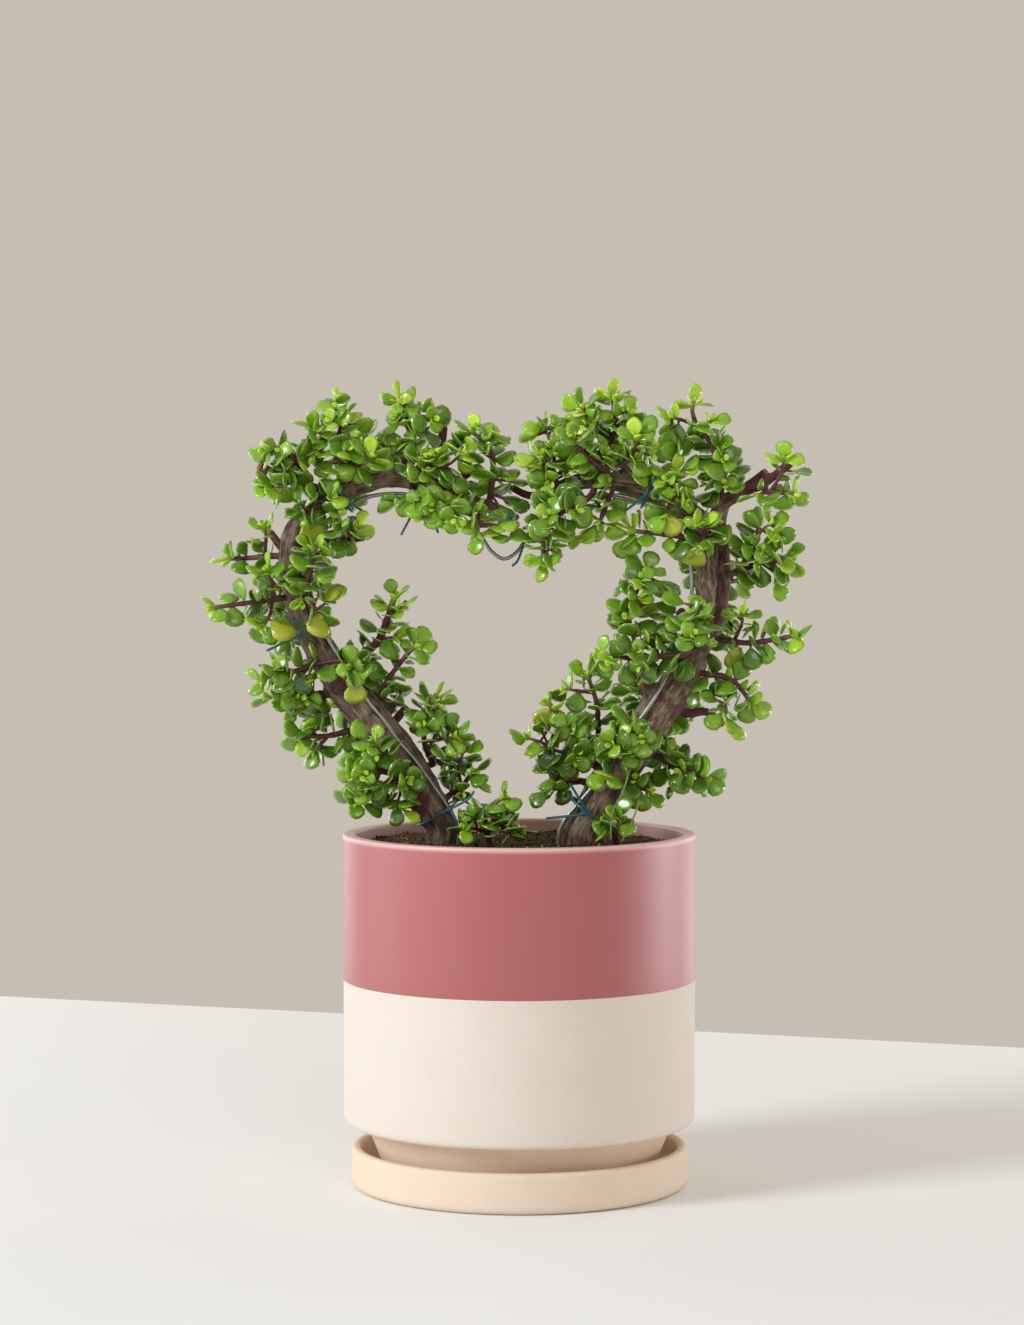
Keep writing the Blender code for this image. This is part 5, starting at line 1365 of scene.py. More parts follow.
@dataclass(frozen=True)
class Stoneware:
    """Unglazed fired clay: chalky and matte, with sand that shows as fine specks."""

    name: str = "cream_stoneware"
    body: str = "#ded4ca"
    cloud: str = "#dacebf"
    speck: str = "#b99878"
    cloud_mm: float = 16.0
    speck_mm: float = 1.82  # between grains of sand, coarser than real ones so that they show
    grain_mm: float = 0.5

    def make(self) -> bpy.types.Material:
        """The material."""
        paint = Paint(self.name, {"Roughness": 0.82, "IOR": 1.45, "Specular IOR Level": 0.3})
        add = paint.add
        clouds, grain = (add("ShaderNodeTexNoise", {"Scale": per_size(size), "Detail": detail})
                         for size, detail in ((self.cloud_mm, 5.0), (self.grain_mm, 3.0)))
        specks = add("ShaderNodeTexVoronoi", {"Scale": per_size(self.speck_mm)})
        colour = add("ShaderNodeMix",
                     {"data_type": "RGBA", 6: linear(self.body), 7: linear(self.cloud)},
                     {0: clouds}, result=2)
        dots = add("ShaderNodeMapRange", {"From Min": 0.2, "From Max": 0.08, "To Max": 0.3},
                   {"Value": specks})
        return paint.finished(colour, [(dots, self.speck)], (grain, 0.35, 0.15))


@dataclass(frozen=True)
class TwoTone:
    """A finish of two close colours in soft patches, which may also differ in gloss."""

    name: str
    colour: str
    patch: str
    patch_mm: float
    roughness: tuple[float, float]
    detail: float = 3.0
    metallic: float = 0.0
    level: float = 0.5

    def make(self) -> bpy.types.Material:
        """The material."""
        paint = Paint(self.name, {"Metallic": self.metallic, "Specular IOR Level": self.level})
        patches = paint.add("ShaderNodeTexNoise",
                            {"Scale": per_size(self.patch_mm), "Detail": self.detail})
        colour = paint.add("ShaderNodeMix",
                           {"data_type": "RGBA", 6: linear(self.colour), 7: linear(self.patch)},
                           {0: patches}, result=2)
        smooth, rough = self.roughness
        gloss = paint.add("ShaderNodeMapRange", {"To Min": smooth, "To Max": rough},
                          {"Value": patches})
        return paint.finished(colour, gloss=gloss)


# Soft steel wire with a zinc coat: grey metal, dulled in small patches
ZINC = TwoTone("galvanised_wire", "#a9a9a6", "#7b7c7b", 2.5, (0.28, 0.5), metallic=1.0)
# Soft PVC over thin wire: dark teal, with a low gloss that follows its folds
TIE_PLASTIC = TwoTone("teal_tie_plastic", "#0f4a52", "#2b6a70", 1.5, (0.38, 0.38))
# Matte coated board: pale, even and without gloss
PALE_BOARD = TwoTone("pale_board", "#eeeeec", "#ebebe9", 300.0, (0.9, 0.9), 2.0, level=0.1)


class Scatter(Wiring):
    """A Geometry Nodes tree with named inputs that sets forms on points."""

    def __init__(self, name: str, forms: bpy.types.Collection, sizes: dict[str, float]) -> None:
        """Starts a tree.

        Args:
            name: Its name.
            forms: The forms that it sets.
            sizes: Values of its named inputs; a whole number makes a whole-number input.
        """
        super().__init__(bpy.data.node_groups.new(name, "GeometryNodeTree"))
        self.sizes = sizes
        face = self.tree.interface
        face.new_socket("Geometry", in_out="INPUT", socket_type="NodeSocketGeometry")
        for key, value in sizes.items():
            kind = "NodeSocketInt" if isinstance(value, int) else "NodeSocketFloat"
            face.new_socket(key, in_out="INPUT", socket_type=kind)
        face.new_socket("Geometry", in_out="OUTPUT", socket_type="NodeSocketGeometry")
        self.given = self.add("NodeGroupInput").node.outputs
        self.forms = self.add("GeometryNodeCollectionInfo", {
            "Collection": forms, "Separate Children": True, "Reset Children": True})

    def mesh(self, guide_mesh: bpy.types.Mesh, links: dict,
             material: bpy.types.Material) -> bpy.types.Mesh:
        """Ends the tree and runs it on a mesh.

        Args:
            guide_mesh: The mesh that it starts from.
            links: Points, turn, scale and, where it matters, which form each point gets.
            material: The forms' material.

        Returns:
            One plain mesh of all forms.
        """
        placed = self.add("GeometryNodeInstanceOnPoints", {"Pick Instance": True},
                          {"Instance": self.forms, **links})
        real = self.add("GeometryNodeRealizeInstances", None, {0: placed})
        dressed = self.add("GeometryNodeSetMaterial", {"Material": material}, {"Geometry": real})
        self.add("NodeGroupOutput", None, {0: dressed})
        guide = linked_object(guide_mesh.name, guide_mesh)
        modifier = guide.modifiers.new("scatter", "NODES")
        modifier.node_group = self.tree
        for item in self.tree.interface.items_tree:
            if item.in_out == "INPUT" and item.name in self.sizes:
                modifier[item.identifier] = self.sizes[item.name]
        return evaluated_mesh(guide)


def linked_object(name: str, data: bpy.types.ID) -> bpy.types.Object:
    """A new object of the scene that shows a mesh, a lamp or a camera."""
    found = bpy.data.objects.new(name, data)
    bpy.context.scene.collection.objects.link(found)
    return found


def add_piece(name: str, mesh: bpy.types.Mesh,
              materials: Sequence[bpy.types.Material], replaced: Iterable[str]) -> bpy.types.Object:
    """Puts a finished mesh in the scene as a piece of the object.

    Args:
        name: The piece's name.
        mesh: Its mesh, in place.
        materials: Its materials; none leaves those that the mesh has.
        replaced: The solids that it stands for.

    Returns:
        The piece.
    """
    if materials:
        mesh.materials.clear()
        for material in materials:
            mesh.materials.append(material)
    mesh.name = name
    piece = linked_object(name, mesh)
    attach(piece, BODY)
    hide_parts(*replaced)
    LOG.info("%s: %d points", name, len(mesh.vertices))
    return piece


def evaluated_mesh(guide: bpy.types.Object) -> bpy.types.Mesh:
    """The plain mesh of an object with its modifiers; the object is then removed."""
    bpy.context.view_layer.update()
    graph = bpy.context.evaluated_depsgraph_get()
    mesh = bpy.data.meshes.new_from_object(guide.evaluated_get(graph))
    bpy.data.objects.remove(guide)
    return mesh


def mesh_from(build: bmesh.types.BMesh, name: str) -> bpy.types.Mesh:
    """The smooth mesh of a finished build, which is then freed."""
    mesh = bpy.data.meshes.new(name)
    build.to_mesh(mesh)
    build.free()
    mesh.shade_smooth()
    return mesh


class LeafForm(IntEnum):
    """The forms that a jade leaf takes, by its place on the plant."""

    BUD = 0
    SPOON = 1
    ROUND = 2
    BROAD = 3


@dataclass(frozen=True)
class Blade:
    """Proportions of one form of leaf, as shares of its length."""

    width: float
    obovate: float
    thick: float
    cup: float
    droop: float
    point: float


BLADES = {
    LeafForm.BUD: Blade(width=0.34, obovate=0.40, thick=0.085, cup=0.12, droop=-0.04, point=0.5),
    LeafForm.SPOON: Blade(width=0.41, obovate=0.46, thick=0.07, cup=0.12, droop=0.07, point=0.42),
    LeafForm.ROUND: Blade(width=0.445, obovate=0.38, thick=0.068, cup=-0.06, droop=0.05, point=0.2),
    LeafForm.BROAD: Blade(width=0.47, obovate=0.32, thick=0.05, cup=-0.09, droop=0.10, point=0.05),
}


@dataclass
class LeafPress:
    """Makes the unit blade of each form: root at the origin, tip at X = 1, face up."""

    segments: int = 12
    rings: tuple[float, ...] = (0.66, 1.0)
    base_taper: float = 0.34
    base_width: float = 0.3
    dome_power: float = 2.4
    dome_at_base: float = 0.75
    dome_above: float = 0.8

    def mesh(self, form: LeafForm) -> bpy.types.Mesh:
        """The mesh of one form, with how near its rim each point is.

        Args:
            form: The form.

        Returns:
            A closed plump blade.
        """
        blade = BLADES[form]
        shape = Shape()
        points = [self.place(blade, 0, 0, 1), self.place(blade, 0, 0, -1)]
        rims = [0.0, 0.0]
        rows: dict[tuple[int, int], list[int]] = {}
        for number, ring in enumerate(self.rings):
            for side in (1, -1):
                if side == -1 and ring == 1:
                    rows[number, side] = rows[number, 1]
                    continue
                rows[number, side] = list(range(len(points), len(points) + self.segments))
                for k in range(self.segments):
                    points.append(self.place(blade, ring, math.tau * k / self.segments, side))
                    rims.append(ring)
        faces = []
        for side, middle in ((1, 0), (-1, 1)):
            for k in range(self.segments):
                onward = (k + 1) % self.segments
                inner = rows[0, side]
                found = [[middle, inner[k], inner[onward]]]
                for number in range(1, len(self.rings)):
                    outer = rows[number, side]
                    found.append([inner[k], outer[k], outer[onward], inner[onward]])
                    inner = outer
                faces += [face if side == 1 else face[::-1] for face in found]
        shape.add(points, faces, rim=rims)
        return shape.mesh(f"leaf_form_{form.value}")

    def place(self, blade: Blade, ring: float, turn: float, side: int) -> Vector:
        """A point of the blade.

        Args:
            blade: The form's proportions.
            ring: Share of the way from the middle to the rim.
            turn: Angle round the middle, 0 at the tip.
            side: 1 on the face, -1 underneath.

        Returns:
            The point, in shares of the leaf's length.
        """
        x, y = math.cos(turn) * ring, math.sin(turn) * ring
        length = 0.5 + 0.5 * x
        narrowed = min(1.0, self.base_width + (1 - self.base_width) * length / self.base_taper)
        pointed = 1 - blade.point * max(0.0, x) ** 3
        across = y * blade.width * (1 + blade.obovate * x) * narrowed * pointed
        dome = blade.thick * math.sqrt(max(0.0, 1 - ring ** self.dome_power))
        dome *= self.dome_at_base + (1 - self.dome_at_base) * narrowed
        lift = blade.cup * (across / blade.width) ** 2 - blade.droop * length ** 2
        share = self.dome_above if side > 0 else 1.0
        return Vector((length, across, side * dome * share + lift))


@dataclass
class LeafBed:
    """Sets fine leaves on the planned ones with Geometry Nodes."""

    forms: bpy.types.Collection
    material: bpy.types.Material
    size: float = 1.01
    tilt_degrees: float = 6.0
    seed: int = 11

    def mesh(self, leaves: list[Leaf], tones: list[float]) -> bpy.types.Mesh:
        """One mesh of many leaves, each turned and sized by its point's own values.

        Args:
            leaves: The planned leaves.
            tones: For each how light its green is, 0 to 1.

        Returns:
            The mesh.
        """
        points = bpy.data.meshes.new("leaf_roots")
        points.from_pydata([leaf.start for leaf in leaves], [], [])
        values = {
            "length": ("FLOAT", [leaf.length * MM for leaf in leaves]),
            "tone": ("FLOAT", tones),
            "grown_up": ("FLOAT", [leaf.grown_up for leaf in leaves]),
            "form": ("INT", [int(self.form_of(leaf)) for leaf in leaves]),
            "turn": ("QUATERNION", [part for leaf in leaves for part in leaf.turn]),
        }
        for name, (kind, numbers) in values.items():
            points.attributes.new(name, kind, "POINT").data.foreach_set("value", numbers)
        sizes = {"Leaf size": self.size, "Tilt": math.radians(self.tilt_degrees),
                 "Seed": self.seed}
        bed = Scatter("leaves_on_stems", self.forms, sizes)
        add, given = bed.add, bed.given
        turn, form, length = (
            add("GeometryNodeInputNamedAttribute", {"data_type": values[name][0], "Name": name})
            for name in ("turn", "form", "length")
        )
        scale = add("ShaderNodeMath", {"operation": "MULTIPLY"},
                    {0: length, 1: given["Leaf size"]})
        negative = add("ShaderNodeMath", {"operation": "MULTIPLY", 1: -1.0}, {0: given["Tilt"]})
        low, high = (add("ShaderNodeCombineXYZ", None, {i: limit for i in range(3)})
                     for limit in (negative, given["Tilt"]))
        wobble = add("FunctionNodeRandomValue", {"data_type": "FLOAT_VECTOR"},
                     {0: low, 1: high, "Seed": given["Seed"]})
        small_turn = add("FunctionNodeEulerToRotation", None, {0: wobble})
        turned = add("FunctionNodeRotateRotation", {"rotation_space": "LOCAL"},
                     {0: turn, 1: small_turn})
        links = {"Points": given["Geometry"], "Instance Index": form, "Rotation": turned,
                 "Scale": scale}
        return bed.mesh(points, links, self.material)

    @staticmethod
    def form_of(leaf: Leaf) -> LeafForm:
        """The form that fits a leaf's age."""
        if leaf.grown_up > 0.8:
            return LeafForm.BROAD
        if leaf.grown_up < 0.3:
            return LeafForm.BUD
        return LeafForm.ROUND if int(leaf.length * 100) % 3 else LeafForm.SPOON


@dataclass
class Foliage:
    """Leaves and young stems: the leafy stems of the plan in their fine form.

    A size in millimetres says so in its name. The other numbers are shares of a leaf or a
    stem, slopes against the stem, ages from 0 to 1, tones from 0 to 1, or counts.
    """

    plan: Plan
    leaf_skin: WaxyLeaf = field(default_factory=WaxyLeaf)
    stem_skin: YoungStem = field(default_factory=YoungStem)
    sides: int = 10
    step_mm: float = 1.6
    internode_mm: float = 5.5
    swelling: float = 0.22
    swelling_mm: float = 0.8
    tip_pairs: int = 2
    tip_leaf_mm: float = 5.2
    tip_start: float = 0.3
    tip_step_mm: float = 1.7
    tip_spread: float = 0.62
    tip_opening: float = 0.35
    tip_size: float = 0.72
    tip_growth: float = 0.34
    tip_play: tuple[float, float] = (0.9, 1.15)
    petiole_mm: float = 0.75
    petiole_taper: tuple[float, ...] = (1.0, 0.8, 0.5)
    petiole_from_mm: float = 0.3
    petiole_inside: float = 0.12
    pair_mm: tuple[float, float] = (8.0, 11.5)
    pair_every_mm: float = 4.2
    pair_rise: tuple[float, float] = (0.35, 0.9)
    pair_twist: float = 0.25
    pair_lift: float = 0.5
    pair_stalk_mm: float = 0.8
    reach_mm: float = 6.5
    tip_at: float = 0.8
    shoot_every_mm: float = 6.5
    shoot_mm: tuple[float, float] = (4.5, 9.0)
    shoot_radius: float = 0.6
    shoot_tilt: float = 0.5
    shoot_lean: float = 0.6
    shoot_out: float = 0.35
    shoot_up: float = 0.6
    rosette_mm: tuple[tuple[float, float], ...] = ((8.5, 11.5), (6.5, 8.5), (3.5, 4.5))
    rosette_rise: tuple[float, ...] = (0.3, 0.7, 1.3)
    rosette_step_mm: float = 1.3
    rosette_least: int = 3
    open_share: float = 0.66
    open_sprays: tuple[str, ...] = (
        "spray_left_outer", "spray_left_outer_high", "spray_right_outer", "spray_right_fork",
        "spray_left_inner", "spray_right_outer_low", "spray_right_low_inner",
        "spray_left_inner_stub",
    )
    end_from: float = 0.75
    end_share: float = 0.9
    upright_from: float = 0.75
    upright_share: float = 0.76
    above_soil_mm: float = 4.0
    twig_age: float = 0.3
    shoot_age: tuple[float, float] = (0.55, 0.85)
    petiole_age: tuple[float, float] = (0.6, 1.0)
    darkest: float = 0.12
    paler_at_tip: float = 0.34
    paler_at_top: float = 0.2
    crown_mm: float = 200.0
    tone_play: tuple[float, float] = (-0.18, 0.24)
    large_mm: float = 9.0
    darker_per_mm: float = 0.05
    bud_age: float = 0.3
    bud_paler: float = 0.2

    def build(self) -> None:
        """Builds the leaves and stems, one piece of each for every part of the plant."""
        forms = bpy.data.collections.new("leaf_forms")
        press = LeafPress()
        for form in LeafForm:
            unit = bpy.data.objects.new(f"leaf_form_{form.value}", press.mesh(form))
            forms.objects.link(unit)
        bed = LeafBed(forms, self.leaf_skin.make())
        stem_material = self.stem_skin.make()
        for name, growths in self.parts().items():
            leaves: list[Leaf] = []
            tones: list[float] = []
            for growth in growths:
                for leaf in growth.leaves:
                    if leaf.share > self.end_from:
                        upright = leaf.axis.z > self.upright_from
                        leaf.length *= self.upright_share if upright else self.end_share
                found = growth.leaves + growth.fillers + self.tip_leaves(growth)
                found += self.rosettes(growth) + self.pairs(growth)
                leaves += found
                tones += self.tones(growth, found)
            nodes = [growth.spray.name for growth in growths]
            mesh = bed.mesh(leaves, tones)
            add_piece(f"leaves_{name}", mesh, [], nodes)
            stems = self.stems(growths)
            add_piece(f"stems_{name}", stems, [stem_material], [])
            LOG.info("%s has %d leaves", name, len(leaves))
        DryStalks().build(stem_material)
        for unit in list(forms.objects):
            bpy.data.objects.remove(unit)
        bpy.data.collections.remove(forms)

    def parts(self) -> dict[str, list[Growth]]:
        """The growths by the part of the plant that they belong to."""
        found: dict[str, list[Growth]] = {}
        for growth in self.plan.growths:
            spray = growth.spray
            side = {LEFT: "left", RIGHT: "right", SOIL: "soil"}[spray.grows_from]
            name = f"back_{side}" if spray.back else side
            found.setdefault(name, []).append(growth)
        return found

    def tones(self, growth: Growth, leaves: list[Leaf]) -> list[float]:
        """How light the green of each leaf is: lighter towards a stem's tip and near the top.

        Args:
            growth: The spray.
            leaves: Its leaves.

        Returns:
            One tone for each leaf.
        """
        draw = random.Random(growth.spray.name + " tones")
        tones = []
        for leaf in leaves:
            height = (leaf.start.z / MM - SIZE.soil_line) / self.crown_mm
            tone = self.darkest + self.paler_at_tip * leaf.share ** 2
            tone += self.paler_at_top * height + draw.uniform(*self.tone_play)
            tone -= max(0.0, leaf.length - self.large_mm) * self.darker_per_mm
            tone += self.bud_paler if leaf.grown_up < self.bud_age else 0
            tones.append(min(1.0, max(0.0, tone)))
        return tones

    def tip_leaves(self, growth: Growth) -> list[Leaf]:
        """The youngest pairs, crossed, at the tip of each stem.

        Args:
            growth: The spray.

        Returns:
            Its leaves.
        """
        draw = random.Random(growth.spray.name + " tips")
        leaves = []
        for route in growth.routes:
            tip, ahead = route[-1][0], (route[-1][0] - route[-2][0]).normalized()
            side = side_of(ahead, draw.uniform(0, math.tau))
            for pair in range(self.tip_pairs):
                side.rotate(Quaternion(ahead, math.pi / 2))
                back = (pair + self.tip_start) * self.tip_step_mm * MM
                spread = self.tip_spread + self.tip_opening * pair
                size = self.tip_size + self.tip_growth * pair
                length = self.tip_leaf_mm * size * draw.uniform(*self.tip_play)
                for sign in (1, -1):
                    axis = (ahead + side * sign * spread).normalized()
                    face = ahead - axis * ahead.dot(axis)
                    start = tip - ahead * back
                    leaves.append(Leaf(start, axis, face.normalized(), length, start,
                                       share=1.0, grown_up=0.2))
        return leaves

    def pairs(self, growth: Growth) -> list[Leaf]:
        """Crossed pairs of leaves along each stem, wherever the foliage is dense and has room.

        Args:
            growth: The spray.

        Returns:
            Its leaves.
        """
        draw = random.Random(growth.spray.name + " pairs")
        shown = [leaf.middle.xz for leaf in growth.leaves + growth.fillers]
        leaves = []
        for route in growth.routes:
            fine = smooth_route(route, self.pair_every_mm)
            turn = draw.uniform(0, math.pi)
            for i in range(1, len(fine) - 1):
                place, radius = fine[i]
                if place.z < (SIZE.soil_line + self.above_soil_mm) * MM:
                    continue
                ahead = (fine[i + 1][0] - fine[i - 1][0]).normalized()
                turn += math.pi / 2 + draw.uniform(-self.pair_twist, self.pair_twist)
                side = side_of(ahead, turn)
                for sign in (1, -1):
                    rise = draw.uniform(*self.pair_rise)
                    axis = (side * sign + ahead * rise).normalized()
                    face = ahead - axis * ahead.dot(axis) + Vector((0, 0, self.pair_lift))
                    face = (face - axis * face.dot(axis)).normalized()
                    length = draw.uniform(*self.pair_mm)
                    if growth.spray.name in self.open_sprays:
                        length *= self.open_share
                    start = place + axis * (radius + self.pair_stalk_mm) * MM
                    leaf = Leaf(start, axis, face, length, place, i / len(fine), grown_up=0.4)
                    if self.has_room(growth, leaf, shown, crossed=2):
                        leaves.append(leaf)
        return leaves

    def has_room(self, growth: Growth, leaf: Leaf, shown: list[Vector], crossed: int) -> bool:
        """Whether a further leaf stays within the foliage's outline and clear of the rest.

        Args:
            growth: The spray that it belongs to.
            leaf: The leaf; it is noted as placed where it has room.
            shown: Middles of the spray's planned leaves in the front view.
            crossed: How many blades of its own spray it may touch.

        Returns:
            Whether it has room.
        """
        tip = (leaf.start + leaf.axis * leaf.length * self.tip_at * MM).xz
        if all((tip - spot).length > self.reach_mm * MM for spot in shown):
            return False
        spot = VIEW.spot(leaf.middle)
        if any((spot - Vector(gap[:2])).length < gap[2] for gap in GAPS_TO_KEEP):
            return False
        neighbours = self.plan.neighbours
        others, own = neighbours.hits(growth.spray.name, *leaf.blade(GAP))
        if others or own > crossed:
            return False
        neighbours.add(growth.spray.name, *leaf.blade())
        return True

    def rosettes(self, growth: Growth) -> list[Leaf]:
        """Crossed pairs at the ends of short side shoots, which face out and up.

        Args:
            growth: The spray; it gets the shoots' stalks.

        Returns:
            Their leaves.
        """
        draw = random.Random(growth.spray.name + " rosettes")
        shown = [leaf.middle.xz for leaf in growth.leaves + growth.fillers]
        outward = Vector((0, self.shoot_out * (1 if growth.spray.back else -1), self.shoot_up))
        leaves: list[Leaf] = []
        if growth.spray.name in self.open_sprays:
            return []
        for route in growth.routes:
            fine = smooth_route(route, self.shoot_every_mm)
            for i in range(1, len(fine) - 1):
                place, radius = fine[i]
                ahead = (fine[i + 1][0] - fine[i - 1][0]).normalized()
                side = side_of(ahead, draw.uniform(0, math.tau))
                lean = Vector([draw.gauss(0, self.shoot_tilt) for _ in range(3)])
                onwards = (side + outward + lean * self.shoot_lean).normalized()
                end = place + onwards * draw.uniform(*self.shoot_mm) * MM
                across = side_of(onwards, draw.uniform(0, math.tau))
                if place.z < (SIZE.soil_line + self.above_soil_mm) * MM:
                    continue
                kept = []
                for number, sizes in enumerate(self.rosette_mm):
                    across.rotate(Quaternion(onwards, math.pi / 2))
                    for sign in (1, -1):
                        rise = self.rosette_rise[number]
                        axis = (across * sign + onwards * rise).normalized()
                        face = (onwards - axis * onwards.dot(axis)).normalized()
                        start = end - onwards * (2 - number) * self.rosette_step_mm * MM
                        leaf = Leaf(start, axis, face, draw.uniform(*sizes), start,
                                    share=0.6 + 0.2 * number, grown_up=0.45 - 0.15 * number)
                        if self.has_room(growth, leaf, shown, crossed=3):
                            kept.append(leaf)
                if len(kept) >= self.rosette_least:
                    leaves += kept
                    growth.shoots.append([(place, self.shoot_radius), (end, self.shoot_radius)])
        return leaves

    def stems(self, growths: list[Growth]) -> bpy.types.Mesh:
        """Stems with a swelling at each pair of leaves, their spurs and the leaves' stalks.

        Args:
            growths: The sprays of one part.

        Returns:
            One mesh, with how young the skin is at each point.
        """
        shape = Shape()
        for growth in growths:
            for number, route in enumerate(growth.routes):
                fine = smooth_route(route, self.step_mm)
                swollen = []
                for i, (place, radius) in enumerate(fine):
                    off = (i * self.step_mm) % self.internode_mm - self.internode_mm / 2
                    bulge = self.swelling * math.exp(-(off / self.swelling_mm) ** 2)
                    swollen.append((place, radius * (1 + bulge)))
                shape.add_tube(swollen, self.sides, along=(self.twig_age if number else 0.0, 1.0))
            if growth.spur:
                spur = smooth_route(growth.spur, self.step_mm)
                shape.add_tube(spur, self.sides, along=(0.0, 0.0))
            for route in growth.shoots:
                shape.add_tube(route, THIN_SIDES, along=self.shoot_age)
            for leaf in growth.leaves + growth.fillers:
                if (leaf.start - leaf.root).length > self.petiole_from_mm * MM:
                    inside = leaf.start + leaf.axis * leaf.length * self.petiole_inside * MM
                    widths = [self.petiole_mm * share for share in self.petiole_taper]
                    stalk = list(zip((leaf.root, leaf.start, inside), widths))
                    shape.add_tube(smooth_route(stalk, self.step_mm), THIN_SIDES,
                                   along=self.petiole_age)
        return shape.mesh("stems")


@dataclass
class DryStalks:
    """Two thin grass-like stalks that lean against the right trunk's foot."""

    radius: float = 0.4
    step_mm: float = 1.5
    stalks: tuple[Rows, ...] = (
        ((611, 841, -30), (612, 815, -29), (622, 795, -27), (630, 770, -25)),
        ((640, 800, -20), (634, 818, -23), (627, 832, -26), (622, 843, -28)),
    )

    def build(self, stem_material: bpy.types.Material) -> bpy.types.Object:
        """The finished stalks."""
        shape = Shape()
        for stalk in self.stalks:
            route = smooth_route(VIEW.route(stalk, self.radius), self.step_mm)
            shape.add_tube(route, THIN_SIDES, along=(1.0, 1.0))
        return add_piece("dry_stalks", shape.mesh("dry_stalks"), [stem_material], [])


@dataclass(frozen=True)
class PartedStems:
    """Where two stems that grew together still show as two, in the front view's units."""

    top: float = 535.0
    bottom: float = 632.0
    shift: float = 2.4
    depth: float = 2.0
    share: float = 0.8

    def move(self, rows: Rows, side: int) -> list:
        """The rows of one stem, thinner and apart from the other.

        Args:
            rows: The stem's rows.
            side: -1 for the left and front stem, 1 for the right and back one.

        Returns:
            The moved rows.
        """
        return [(u + side * self.shift, v, depth + side * self.depth, radius * self.share)
                if self.top < v < self.bottom else (u, v, depth, radius)
                for u, v, depth, radius in rows]


